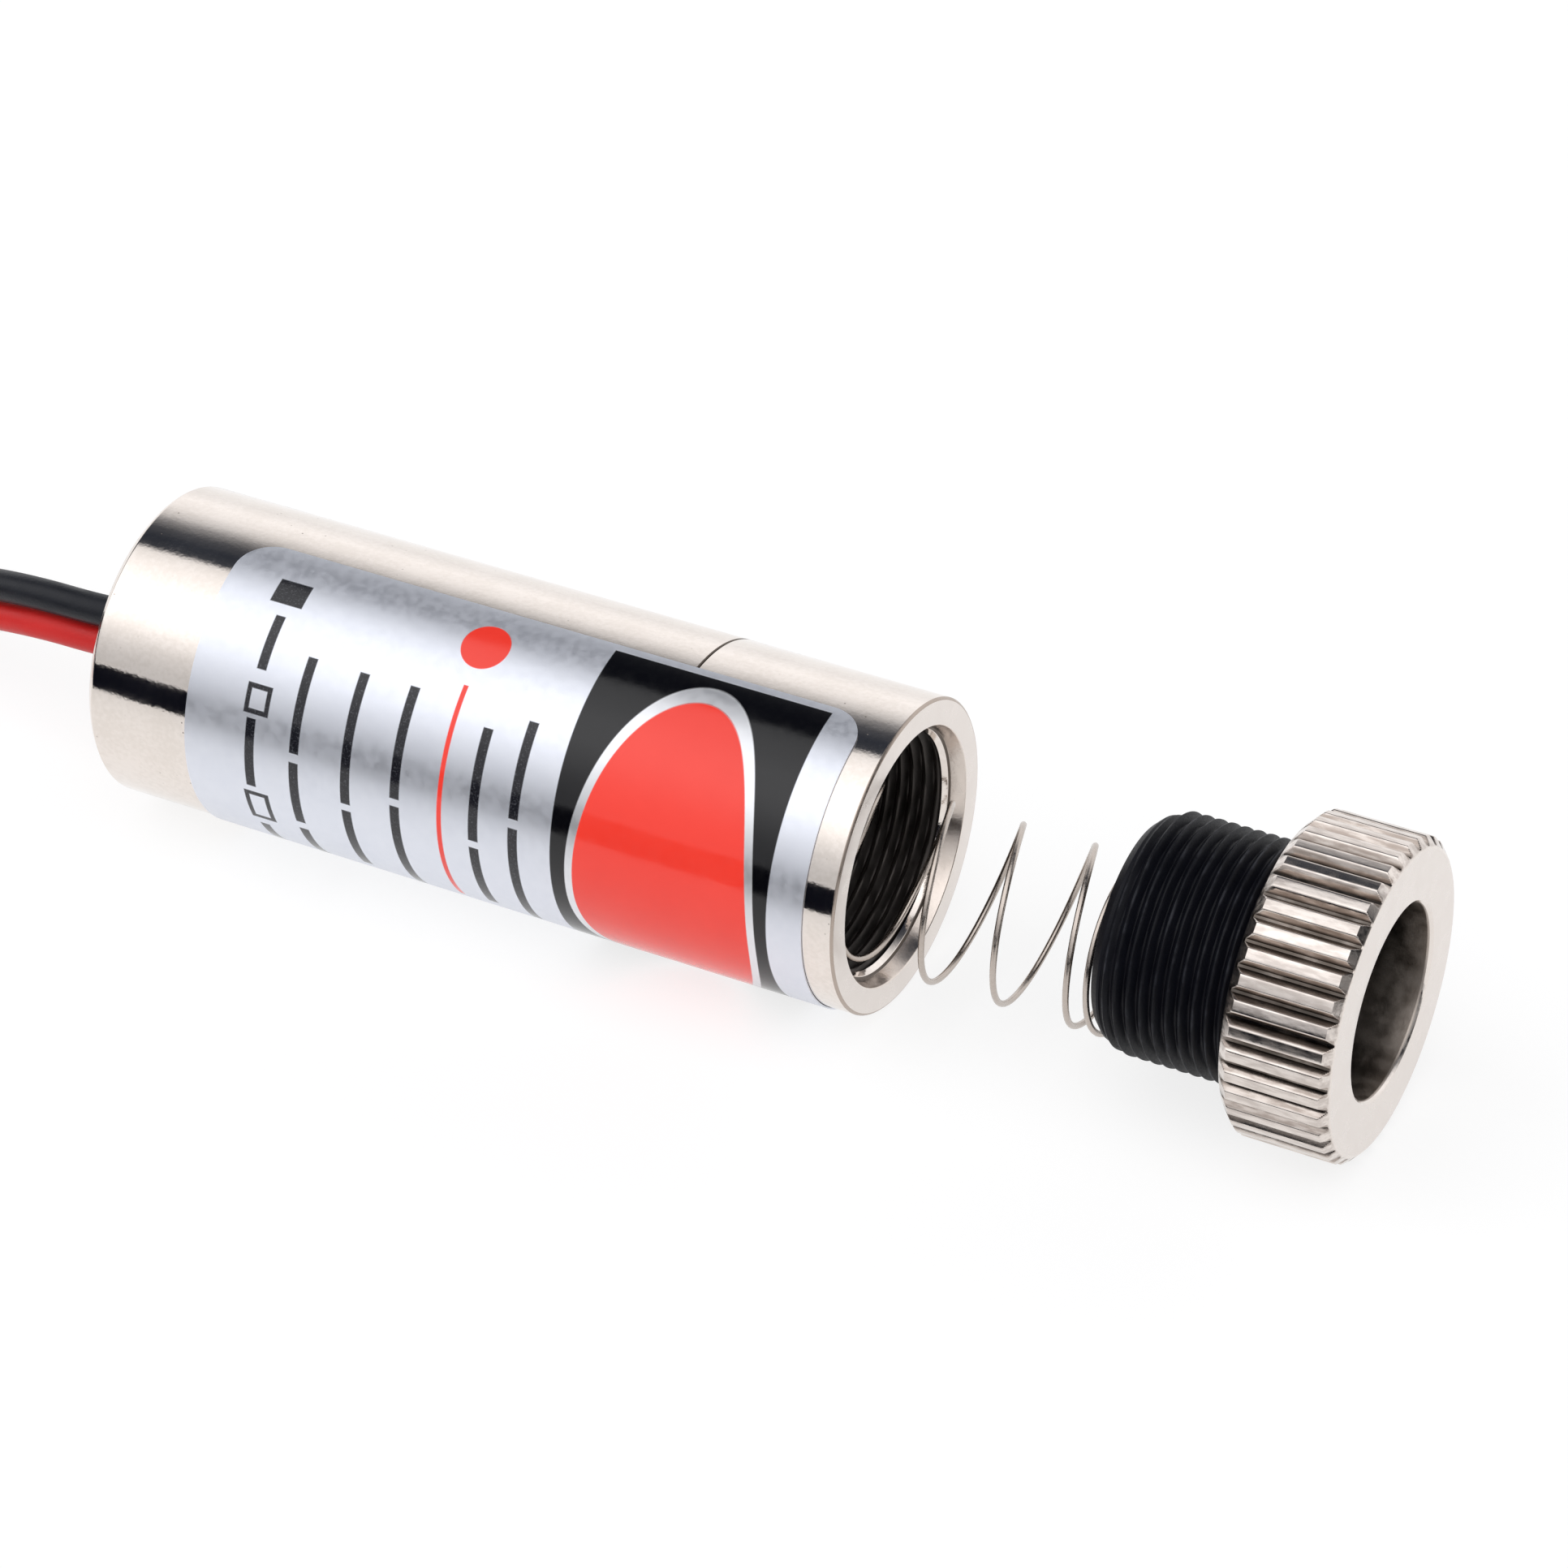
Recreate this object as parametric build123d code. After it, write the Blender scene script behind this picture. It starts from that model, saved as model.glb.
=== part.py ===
from build123d import *
import math
import os

# Laser diode module with its lens cap unscrewed and drawn out along the optical axis.
# Millimetres. The origin is on the optical axis, in the plane of the barrel's front face.
# +X points along the beam and +Z points up. The module lies on its side.

# Barrel
BARREL_RADIUS = 6.0
BARREL_LENGTH = 31.3
FRONT_LENGTH = 8.25  # from the mouth back to the seam
FRONT_CHAMFER = 0.12
REAR_CHAMFER = 0.25
SEAM_CHAMFER = 0.05
SLEEVE_WALL = 0.7
SPIGOT_LENGTH = 3.75  # the front part's tail inside the sleeve
END_WALL = 1.5
CABLE_HOLE_RADIUS = 2.0
SEAT_CLEARANCE = 0.01  # between pieces that are pressed or bonded together

# Lens bore, tapped M9 x 0.5. The bore's thread is a plain cylinder here.
MOUTH_LIP = 1.1  # wall at the mouth
MOUTH_DEPTH = 0.6
BORE_WALL = 1.45
BORE_PAST_SEAM = 0.75
THREAD_CLEARANCE = 0.05
THREAD_LEAD_IN = 0.2
DIODE_WEB = 1.0  # wall between the lens bore and the diode's seat

# Label
LABEL_THICKNESS = 0.06
LABEL_ADHESIVE = 0.02
LABEL_FRONT_GAP = 1.2  # bare barrel in front of the label
LABEL_REAR_GAP = 4.4
LABEL_TOP_ANGLE = 85.0  # its upper edge, above the near side's horizontal
LABEL_WRAP = 165.0  # ends short of the line that the barrel lies on
LABEL_CORNER_RADIUS = 1.5

# Lens cap, drawn forward from the barrel's front face
CAP_DRAW = 14.7
RING_WIDTH = 4.25
RING_FRONT_CHAMFER = 0.35
RING_REAR_CHAMFER = 0.5
APERTURE_LIP = 2.4  # width of the ring's flat front face
APERTURE_CHAMFER = 0.15
KNURL_COUNT = 40
KNURL_DEPTH = 0.3
KNURL_WIDTH = 0.52  # across a groove's mouth
KNURL_FLOOR = 0.1
HOLDER_LENGTH = 5.6  # behind the ring
HOLDER_LEAD_LENGTH = 0.9
HOLDER_LEAD_DEPTH = 0.3
HOLDER_EDGE_CHAMFER = 0.35
THREAD_PITCH = 0.5
THREAD_DEPTH = 0.28  # the holder's thread is drawn as a row of rings
NOSE_STEP = 0.5  # the holder's nose is pressed into the ring
NOSE_LENGTH = 1.25
POCKET_WALL = 0.8
LENS_LEDGE = 0.6
LENS_EDGE = 1.2
LENS_FRONT_CURVE = 8.0
LENS_POCKET_DEPTH = 2.0

# Spring
SPRING_SHARE = 0.703  # of the bore's radius, to the middle of the wire
SPRING_WIRE_RADIUS = 0.12
SPRING_SAG_SHARE = 0.65  # how low it lies, as a share of the room round it
SPRING_NEAR_SHARE = 0.22
SPRING_TURNS = 8.5
SPRING_CLOSED_TURNS = 1.0  # at each end
SPRING_EASE_TURNS = 0.5  # from a closed turn to an open one
SPRING_CLOSED_GAP = 0.06
SPRING_LEAN = 0.25  # forward on the near side, for each unit sideways, in the open turns
SPRING_START_ANGLE = 312.0
SPRING_STATIONS = 16  # sections to a turn
SPRING_SIDES = 6
SPRING_END_GAP = 0.02

# Laser diode, 5.6 mm across. Its can and post keep their share of the stem's radius.
STEM_LEDGE = 1.75  # from the bore's wall in to the stem's edge
STEM_THICKNESS = 1.2
CAN_FLANGE_SHARE = 0.82
CAN_FLANGE_THICKNESS = 0.25
CAN_SHARE = 0.68
CAN_HEIGHT = 2.4
CAN_WALL = 0.2
WINDOW_HOLE_SHARE = 0.32
WINDOW_THICKNESS = 0.3
POST_LENGTH = 1.3
POST_WIDTH_SHARE = 0.36
POST_HEIGHT_SHARE = 0.25
CHIP_LENGTH = 0.6
CHIP_WIDTH = 0.35
CHIP_HEIGHT = 0.15
PIN_RADIUS = 0.225
PIN_LENGTH = 4.0
PIN_SPREAD = 0.77  # sideways, of the two upper pins

# Driver board. A part's place on it is a share of the board's length, and a distance sideways.
BOARD_THICKNESS = 0.8
BOARD_WIDTH = 8.0
BOARD_FRONT_GAP = 0.6  # behind the spigot
BOARD_REAR_GAP = 1.6  # in front of the bush
TRIMMER_SHARE = 0.5
TRIMMER_SIZE = 3.2
TRIMMER_HEIGHT = 1.5
TRIMMER_ROTOR_RADIUS = 1.2
TRIMMER_ROTOR_HEIGHT = 0.35
TRIMMER_SLOT_WIDTH = 0.4
TRIMMER_SLOT_DEPTH = 0.2
TRANSISTOR_SHARE = 0.77
TRANSISTOR_SIDE = 2.4
TRANSISTOR_LENGTH = 2.9
TRANSISTOR_WIDTH = 1.3
TRANSISTOR_HEIGHT = 1.0
LEG_LENGTH = 0.6
LEG_WIDTH = 0.45
LEG_HEIGHT = 0.3
LEG_PITCH = 0.95
CAPACITOR_SHARE = 0.77
CAPACITOR_SIDE = 2.5
CAPACITOR_LENGTH = 3.2
CAPACITOR_WIDTH = 1.6
CAPACITOR_HEIGHT = 1.2
RESISTOR_SHARES = (0.3, 0.5, 0.7)
RESISTOR_SIDE = 1.9
RESISTOR_LENGTH = 2.0
RESISTOR_WIDTH = 1.25
RESISTOR_HEIGHT = 0.5
SOLDER_RADIUS = 0.5
SOLDER_LENGTH = 1.6
SOLDER_FILM = 0.03  # under a pin or a core

# Leads
WIRE_SIDES = 8  # the leads and the pins are eight-sided bars
LEAD_RADIUS = 0.625
CORE_RADIUS = 0.25
CORE_LENGTH = 2.6
LEAD_BOARD_GAP = 0.2
BUSH_FLANGE_RADIUS = 3.2
BUSH_FLANGE_LENGTH = 1.6

# Coil of the length that is put away, and the free run before it
COIL_BEHIND = 24.7  # from the rear face back to the middle of the coil
COIL_SIDE = 4.6  # where the leads join the coil, sideways from the axis
COIL_OUTER_TURN = 7.8
COIL_TURN_PITCH = 1.3
COIL_TURNS = 2.5
FREE_RUN_LEVEL = 6.9  # the leads keep level this far behind the rear face
FREE_RUN_SINK = 13.3
FREE_RUN_SIDE = 1.7
SINK_SHARE = 0.6  # of the fall to the coil, done by the middle bend
FREE_RUN_LAND = 19.5
RUN_OFFSET = 0.3  # how much later the upper lead bends
BEND_SHARE = 0.45  # of the shorter run beside a bend
TIE_WIDTH = 1.8
TIE_THICKNESS = 0.35
TIE_GAP = 0.08
LOCK_LENGTH = 2.2
LOCK_WIDTH = 2.4
LOCK_HEIGHT = 1.3
TIP_LENGTH = 2.5
TIP_INWARD_ANGLE = 20.0

# Sizes and places that follow
BORE_RADIUS = BARREL_RADIUS - BORE_WALL
MOUTH_RADIUS = BARREL_RADIUS - MOUTH_LIP
THREAD_RADIUS = BORE_RADIUS - THREAD_CLEARANCE
SLEEVE_BORE_RADIUS = BARREL_RADIUS - SLEEVE_WALL
SLEEVE_REAR = -BARREL_LENGTH
SPIGOT_END = -FRONT_LENGTH - SPIGOT_LENGTH
LABEL_RADIUS = BARREL_RADIUS + LABEL_ADHESIVE
FLOOR = -BARREL_RADIUS
RING_RADIUS = BARREL_RADIUS  # the cap is flush with the barrel
RING_REAR = CAP_DRAW
RING_FRONT = RING_REAR + RING_WIDTH
APERTURE_RADIUS = RING_RADIUS - APERTURE_LIP
NOSE_RADIUS = THREAD_RADIUS - NOSE_STEP
LENS_RADIUS = NOSE_RADIUS - POCKET_WALL
HOLDER_BORE_RADIUS = LENS_RADIUS - LENS_LEDGE
HOLDER_REAR = RING_REAR - HOLDER_LENGTH
HOLDER_FRONT = RING_REAR + NOSE_LENGTH
LENS_SEAT = HOLDER_FRONT - LENS_POCKET_DEPTH
SPRING_RADIUS = SPRING_SHARE * BORE_RADIUS
SPRING_SAG = SPRING_SAG_SHARE * (BORE_RADIUS - SPRING_RADIUS)
SPRING_NEAR_OFFSET = SPRING_NEAR_SHARE * (BORE_RADIUS - SPRING_RADIUS)
BORE_DEPTH = FRONT_LENGTH + BORE_PAST_SEAM
STEM_RADIUS = BORE_RADIUS - STEM_LEDGE
CAN_FLANGE_RADIUS = CAN_FLANGE_SHARE * STEM_RADIUS
CAN_RADIUS = CAN_SHARE * STEM_RADIUS
WINDOW_HOLE_RADIUS = WINDOW_HOLE_SHARE * STEM_RADIUS
POST_WIDTH = POST_WIDTH_SHARE * STEM_RADIUS
POST_HEIGHT = POST_HEIGHT_SHARE * STEM_RADIUS
STEM_FRONT = -BORE_DEPTH - DIODE_WEB
STEM_REAR = STEM_FRONT - STEM_THICKNESS
CAN_FRONT = STEM_FRONT + CAN_HEIGHT
BUSH_FRONT = SLEEVE_REAR + END_WALL + BUSH_FLANGE_LENGTH
BOARD_FRONT = SPIGOT_END - BOARD_FRONT_GAP
BOARD_REAR = BUSH_FRONT + BOARD_REAR_GAP
BOARD_LENGTH = BOARD_FRONT - BOARD_REAR
BOARD_TOP = BOARD_THICKNESS / 2
PIN_HEIGHT = BOARD_TOP + SOLDER_FILM + PIN_RADIUS
LEAD_HEIGHT = BOARD_TOP + SOLDER_FILM + CORE_RADIUS
CORE_START = BOARD_REAR - LEAD_BOARD_GAP
COIL_CENTRE = Vector(SLEEVE_REAR - COIL_BEHIND, COIL_SIDE - COIL_OUTER_TURN)
COIL_OUTER_RADIUS = COIL_OUTER_TURN + COIL_TURN_PITCH / 2
COIL_INNER_RADIUS = COIL_OUTER_TURN - COIL_TURNS * COIL_TURN_PITCH - COIL_TURN_PITCH / 2
COIL_BOTTOM = FLOOR + TIE_THICKNESS + TIE_GAP
COIL_HEIGHT = 2 * COIL_TURN_PITCH
RED_LEVEL = COIL_BOTTOM + COIL_TURN_PITCH / 2
BLACK_LEVEL = RED_LEVEL + COIL_TURN_PITCH

# The red lead leaves the bush below the axis and the black one above it.
LEAD_HEIGHTS = {"red": -LEAD_HEIGHT, "black": LEAD_HEIGHT}
COIL_LEVELS = {"red": RED_LEVEL, "black": BLACK_LEVEL}


def turned(*corners):
    """A solid turned about the optical axis, from the corners (x, radius) of its half section."""
    return revolve(Plane.XZ * make_face(Polyline(*corners, close=True)), Axis.X)


def across(x, side=0.0, height=0.0):
    """The plane square to the optical axis at x, with its first axis sideways."""
    return Plane(origin=(x, side, height), x_dir=(0, 1, 0), z_dir=(1, 0, 0))


def rod(start, length, radius):
    """A round bar on the optical axis, forward from start."""
    return extrude(across(start) * Circle(radius), length)


def wire(start, length, radius, side, height):
    """An eight-sided bar beside the optical axis, forward from start."""
    return extrude(across(start, side, height) * RegularPolygon(radius, WIRE_SIDES), length)


def on_board(size, share, side, above=True):
    """A box that stands on the board's upper face, or hangs under its lower one."""
    level = BOARD_TOP + size[2] / 2
    x = BOARD_FRONT - share * BOARD_LENGTH
    return Pos(x, side, level if above else -level) * Box(*size)


def make_front_barrel():
    lip = -MOUTH_DEPTH
    spigot_radius = SLEEVE_BORE_RADIUS - SEAT_CLEARANCE
    stem_seat = STEM_RADIUS + SEAT_CLEARANCE
    can_hole = CAN_FLANGE_RADIUS + SEAT_CLEARANCE
    return turned(
        (0, MOUTH_RADIUS),
        (0, BARREL_RADIUS - FRONT_CHAMFER),
        (-FRONT_CHAMFER, BARREL_RADIUS),
        (SEAM_CHAMFER - FRONT_LENGTH, BARREL_RADIUS),
        (-FRONT_LENGTH, BARREL_RADIUS - SEAM_CHAMFER),
        (-FRONT_LENGTH, spigot_radius),
        (SPIGOT_END, spigot_radius),
        (SPIGOT_END, stem_seat),
        (STEM_FRONT, stem_seat),
        (STEM_FRONT, can_hole),
        (-BORE_DEPTH, can_hole),
        (-BORE_DEPTH, BORE_RADIUS),
        (lip - THREAD_LEAD_IN, BORE_RADIUS),
        (lip, BORE_RADIUS + THREAD_LEAD_IN),
        (lip, MOUTH_RADIUS),
    )


def make_rear_sleeve():
    wall_front = SLEEVE_REAR + END_WALL
    return turned(
        (-FRONT_LENGTH, SLEEVE_BORE_RADIUS),
        (-FRONT_LENGTH, BARREL_RADIUS - SEAM_CHAMFER),
        (-FRONT_LENGTH - SEAM_CHAMFER, BARREL_RADIUS),
        (SLEEVE_REAR + REAR_CHAMFER, BARREL_RADIUS),
        (SLEEVE_REAR, BARREL_RADIUS - REAR_CHAMFER),
        (SLEEVE_REAR, CABLE_HOLE_RADIUS),
        (wall_front, CABLE_HOLE_RADIUS),
        (wall_front, SLEEVE_BORE_RADIUS),
    )


def make_label():
    """A thin curved sheet with rounded corners, wrapped down the near side from its upper edge."""
    front = -LABEL_FRONT_GAP
    rear = LABEL_REAR_GAP - BARREL_LENGTH
    size = (front - rear, LABEL_THICKNESS)
    section = Pos((front + rear) / 2, LABEL_RADIUS + LABEL_THICKNESS / 2) * Rectangle(*size)
    sheet = revolve(Plane.XZ * section, Axis.X, LABEL_WRAP)
    reach = LABEL_CORNER_RADIUS
    for x, inward in ((front, -reach), (rear, reach)):
        for turn, onward in ((0.0, -reach), (LABEL_WRAP, reach)):
            corner = Pos(x, 0.0) * Rectangle(2 * reach, 2 * reach)
            corner -= Pos(x + inward, onward) * Circle(reach)
            sheet -= Rot(X=turn) * extrude(Pos(Z=LABEL_RADIUS) * corner, reach, both=True)
    return Rot(X=90.0 - LABEL_TOP_ANGLE) * sheet


def make_focus_ring():
    """The knurled ring, from a bar with one flat for each land of the knurl and a groove at each corner.

    Both chamfers are deeper than the grooves, so the grooves end in points there.
    """
    outline = RegularPolygon(RING_RADIUS, KNURL_COUNT, major_radius=False)
    blank = extrude(across(RING_REAR) * outline, RING_WIDTH)
    blank = chamfer(blank.faces().sort_by(Axis.X)[-1].edges(), RING_FRONT_CHAMFER)
    blank = chamfer(blank.faces().sort_by(Axis.X)[0].edges(), RING_REAR_CHAMFER)
    nose_seat = NOSE_RADIUS + SEAT_CLEARANCE
    blank -= turned(
        (RING_REAR, 0),
        (RING_REAR, nose_seat),
        (HOLDER_FRONT, nose_seat),
        (HOLDER_FRONT, APERTURE_RADIUS),
        (RING_FRONT - APERTURE_CHAMFER, APERTURE_RADIUS),
        (RING_FRONT, APERTURE_RADIUS + APERTURE_CHAMFER),
        (RING_FRONT, 0),
    )
    # a groove is drawn to twice its depth, so that its slopes run on outside the ring
    slope = (KNURL_WIDTH - KNURL_FLOOR) / 2 / KNURL_DEPTH
    half_floor = KNURL_FLOOR / 2
    half_mouth = half_floor + slope * 2 * KNURL_DEPTH
    groove_outline = Polyline(
        (RING_RADIUS - KNURL_DEPTH, -half_floor),
        (RING_RADIUS + KNURL_DEPTH, -half_mouth),
        (RING_RADIUS + KNURL_DEPTH, half_mouth),
        (RING_RADIUS - KNURL_DEPTH, half_floor),
        close=True,
    )
    groove = extrude(across(RING_REAR) * make_face(groove_outline), RING_WIDTH)
    step = 360.0 / KNURL_COUNT
    return blank - [Rot(X=i * step) * groove for i in range(KNURL_COUNT)]


def make_lens_holder():
    lead_radius = THREAD_RADIUS - HOLDER_LEAD_DEPTH
    pocket = LENS_RADIUS + SEAT_CLEARANCE
    step = HOLDER_REAR + HOLDER_LEAD_LENGTH
    ridges = []
    for turn in range(int((RING_REAR - step) / THREAD_PITCH)):
        crest = step + turn * THREAD_PITCH
        ridges += [(crest, THREAD_RADIUS), (crest + THREAD_PITCH / 2, THREAD_RADIUS - THREAD_DEPTH)]
    run_out = step + len(ridges) / 2 * THREAD_PITCH
    return turned(
        (HOLDER_REAR, HOLDER_BORE_RADIUS),
        (HOLDER_REAR, lead_radius - HOLDER_EDGE_CHAMFER),
        (HOLDER_REAR + HOLDER_EDGE_CHAMFER, lead_radius),
        (step - HOLDER_LEAD_DEPTH, lead_radius),
        *ridges,
        (run_out, THREAD_RADIUS),
        (RING_REAR, THREAD_RADIUS),
        (RING_REAR, NOSE_RADIUS),
        (HOLDER_FRONT, NOSE_RADIUS),
        (HOLDER_FRONT, pocket),
        (LENS_SEAT, pocket),
        (LENS_SEAT, HOLDER_BORE_RADIUS),
    )


def make_lens():
    """Flat at the back and domed at the front."""
    edge = LENS_SEAT + LENS_EDGE
    bulge = LENS_FRONT_CURVE - math.sqrt(LENS_FRONT_CURVE**2 - LENS_RADIUS**2)
    rim = Polyline((edge + bulge, 0), (LENS_SEAT, 0), (LENS_SEAT, LENS_RADIUS), (edge, LENS_RADIUS))
    dome = RadiusArc((edge, LENS_RADIUS), (edge + bulge, 0), LENS_FRONT_CURVE)
    return revolve(Plane.XZ * make_face(rim + dome), Axis.X)


def make_spring():
    """A right-hand spring with closed ends, which lies low in the bore and meets the holder.

    Its pitch rises from closed to open over the ease at each end, and the open pitch takes up
    the length that is left. The open turns lean. The wire is a ruled loft through sections
    square to its run.
    """
    closed = 2 * SPRING_WIRE_RADIUS + SPRING_CLOSED_GAP
    inset = SPRING_END_GAP + SPRING_WIRE_RADIUS
    start = inset - BORE_DEPTH
    length = HOLDER_REAR - inset - start
    count = round(SPRING_TURNS * SPRING_STATIONS)
    opened = []
    for i in range(count):
        from_end = min(i + 0.5, count - i - 0.5) / SPRING_STATIONS
        share = (from_end - SPRING_CLOSED_TURNS) / SPRING_EASE_TURNS
        opened.append(min(1.0, max(0.0, share)))
    spare = (length - closed * SPRING_TURNS) / sum(opened)
    turns = [SPRING_START_ANGLE + 360.0 * i / SPRING_STATIONS for i in range(count + 1)]
    heights = []
    reached = 0.0
    for i, turn in enumerate(turns):
        share = opened[min(i, count - 1)]
        sideways = SPRING_RADIUS * math.sin(math.radians(turn))
        heights.append(reached - SPRING_LEAN * share * sideways)
        reached += closed / SPRING_STATIONS + spare * share
    sections = []
    for i, turn in enumerate(turns):
        before = max(i - 1, 0)
        after = min(i + 1, count)
        rise = (heights[after] - heights[before]) / (after - before)
        slope = math.degrees(math.atan2(rise * SPRING_STATIONS, 2 * math.pi * SPRING_RADIUS))
        station = Pos(Z=heights[i]) * Rot(Z=turn) * Pos(X=SPRING_RADIUS) * Rot(X=slope - 90.0)
        sections.append(station * RegularPolygon(SPRING_WIRE_RADIUS, SPRING_SIDES))
    coil = loft(sections, ruled=True)
    return Pos(start, -SPRING_NEAR_OFFSET, -SPRING_SAG) * Rot(Y=90.0) * coil


def make_diode_stem():
    return rod(STEM_REAR, STEM_THICKNESS, STEM_RADIUS)


def make_diode_can():
    flange_front = STEM_FRONT + CAN_FLANGE_THICKNESS
    inside = CAN_RADIUS - CAN_WALL
    return turned(
        (STEM_FRONT, inside),
        (STEM_FRONT, CAN_FLANGE_RADIUS),
        (flange_front, CAN_FLANGE_RADIUS),
        (flange_front, CAN_RADIUS),
        (CAN_FRONT, CAN_RADIUS),
        (CAN_FRONT, WINDOW_HOLE_RADIUS),
        (CAN_FRONT - CAN_WALL, WINDOW_HOLE_RADIUS),
        (CAN_FRONT - CAN_WALL, inside),
    )


def make_diode_window():
    rear = CAN_FRONT - CAN_WALL - WINDOW_THICKNESS
    return rod(rear, WINDOW_THICKNESS, CAN_RADIUS - CAN_WALL - SEAT_CLEARANCE)


def make_diode_post():
    """The block that carries the chip, with its upper face just under the axis."""
    level = -CHIP_HEIGHT / 2 - POST_HEIGHT / 2
    return Pos(STEM_FRONT + POST_LENGTH / 2, 0, level) * Box(POST_LENGTH, POST_WIDTH, POST_HEIGHT)


def make_laser_chip():
    front = STEM_FRONT + POST_LENGTH
    return Pos(front - CHIP_LENGTH / 2, 0, 0) * Box(CHIP_LENGTH, CHIP_WIDTH, CHIP_HEIGHT)


def pin_places():
    """Two pins run along the top of the board and one under it."""
    return [(-PIN_SPREAD, PIN_HEIGHT), (PIN_SPREAD, PIN_HEIGHT), (0.0, -PIN_HEIGHT)]


def make_diode_pins():
    start = STEM_REAR - PIN_LENGTH
    return sum((wire(start, PIN_LENGTH, PIN_RADIUS, *place) for place in pin_places()), Part())


def make_driver_board():
    middle = (BOARD_FRONT + BOARD_REAR) / 2
    return Pos(X=middle) * Box(BOARD_LENGTH, BOARD_WIDTH, BOARD_THICKNESS)


def make_trim_pot():
    base = on_board((TRIMMER_SIZE, TRIMMER_SIZE, TRIMMER_HEIGHT), TRIMMER_SHARE, 0.0)
    top = BOARD_TOP + TRIMMER_HEIGHT
    centre = Pos(BOARD_FRONT - TRIMMER_SHARE * BOARD_LENGTH, 0.0, top)
    rotor = extrude(centre * Circle(TRIMMER_ROTOR_RADIUS), TRIMMER_ROTOR_HEIGHT)
    slot = Box(2 * TRIMMER_ROTOR_RADIUS, TRIMMER_SLOT_WIDTH, TRIMMER_SLOT_DEPTH)
    slot_level = TRIMMER_ROTOR_HEIGHT - TRIMMER_SLOT_DEPTH / 2
    return base + rotor - centre * Pos(Z=slot_level) * slot


def make_drive_transistor():
    """A three-legged package: one leg towards the middle of the board and two towards its edge."""
    size = (TRANSISTOR_LENGTH, TRANSISTOR_WIDTH, TRANSISTOR_HEIGHT)
    package = on_board(size, TRANSISTOR_SHARE, TRANSISTOR_SIDE)
    leg = (LEG_WIDTH, LEG_LENGTH, LEG_HEIGHT)
    reach = (TRANSISTOR_WIDTH + LEG_LENGTH) / 2
    package += on_board(leg, TRANSISTOR_SHARE, TRANSISTOR_SIDE - reach)
    for along in (-LEG_PITCH, LEG_PITCH):
        package += Pos(X=along) * on_board(leg, TRANSISTOR_SHARE, TRANSISTOR_SIDE + reach)
    return package


def make_chip_capacitor():
    size = (CAPACITOR_LENGTH, CAPACITOR_WIDTH, CAPACITOR_HEIGHT)
    return on_board(size, CAPACITOR_SHARE, -CAPACITOR_SIDE)


def make_chip_resistors():
    size = (RESISTOR_WIDTH, RESISTOR_LENGTH, RESISTOR_HEIGHT)
    parts = [on_board(size, share, RESISTOR_SIDE, above=False) for share in RESISTOR_SHARES]
    return sum(parts, Part())


def make_solder_joints():
    """Solder over the pins at the board's front edge and over the cores at its rear edge."""
    pin_middle = (STEM_REAR - PIN_LENGTH + BOARD_FRONT) / 2
    core_middle = (BOARD_REAR + CORE_START + CORE_LENGTH) / 2
    spots = [(pin_middle, PIN_RADIUS, side, height) for side, height in pin_places()]
    spots += [(core_middle, CORE_RADIUS, 0.0, height) for height in LEAD_HEIGHTS.values()]
    joints = Part()
    for middle, radius, side, height in spots:
        start = middle - SOLDER_LENGTH / 2
        drop = wire(start, SOLDER_LENGTH, SOLDER_RADIUS, side, height)
        joints += drop - wire(start, SOLDER_LENGTH, radius, side, height)
    return joints - make_driver_board()


def make_conductor_ends():
    ends = [wire(CORE_START, CORE_LENGTH, CORE_RADIUS, 0.0, z) for z in LEAD_HEIGHTS.values()]
    return sum(ends, Part())


def make_inner_lead(colour):
    return wire(SLEEVE_REAR, CORE_START - SLEEVE_REAR, LEAD_RADIUS, 0.0, LEAD_HEIGHTS[colour])


def make_cable_bush():
    """A plug in the rear wall, with a flange inside the sleeve and a hole for each lead."""
    neck = rod(SLEEVE_REAR, END_WALL, CABLE_HOLE_RADIUS - SEAT_CLEARANCE)
    bush = neck + rod(SLEEVE_REAR + END_WALL, BUSH_FLANGE_LENGTH, BUSH_FLANGE_RADIUS)
    length = END_WALL + BUSH_FLANGE_LENGTH
    for height in LEAD_HEIGHTS.values():
        bush -= wire(SLEEVE_REAR, length, LEAD_RADIUS + SEAT_CLEARANCE, 0.0, height)
    return bush


def lead_route(colour):
    """The leads leave the bush level, sink to the coil's height and join its outer turn."""
    top = LEAD_HEIGHTS[colour]
    land = COIL_LEVELS[colour]
    late = RUN_OFFSET if colour == "black" else 0.0
    return [
        (SLEEVE_REAR, 0.0, top),
        (SLEEVE_REAR - FREE_RUN_LEVEL - late, 0.0, top),
        (SLEEVE_REAR - FREE_RUN_SINK - late, FREE_RUN_SIDE, top + SINK_SHARE * (land - top)),
        (SLEEVE_REAR - FREE_RUN_LAND - late, COIL_SIDE, land),
        (COIL_CENTRE.X, COIL_SIDE, land),
    ]


def bend_radii(route):
    """Each bend is as large as the two runs beside it allow."""
    points = [Vector(*point) for point in route]
    radii = []
    for before, corner, after in zip(points, points[1:], points[2:]):
        run_in = corner - before
        run_out = after - corner
        half_turn = math.radians(run_in.get_angle(run_out)) / 2
        shorter = min(run_in.length, run_out.length)
        radii.append(BEND_SHARE * shorter / math.tan(half_turn))
    return radii


def make_lead_coil():
    """The outer shape of the turns, as a ring that lies beside the barrel's tail."""
    ring = Circle(COIL_OUTER_RADIUS) - Circle(COIL_INNER_RADIUS)
    return extrude(Pos(COIL_CENTRE.X, COIL_CENTRE.Y, COIL_BOTTOM) * ring, COIL_HEIGHT)


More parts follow.
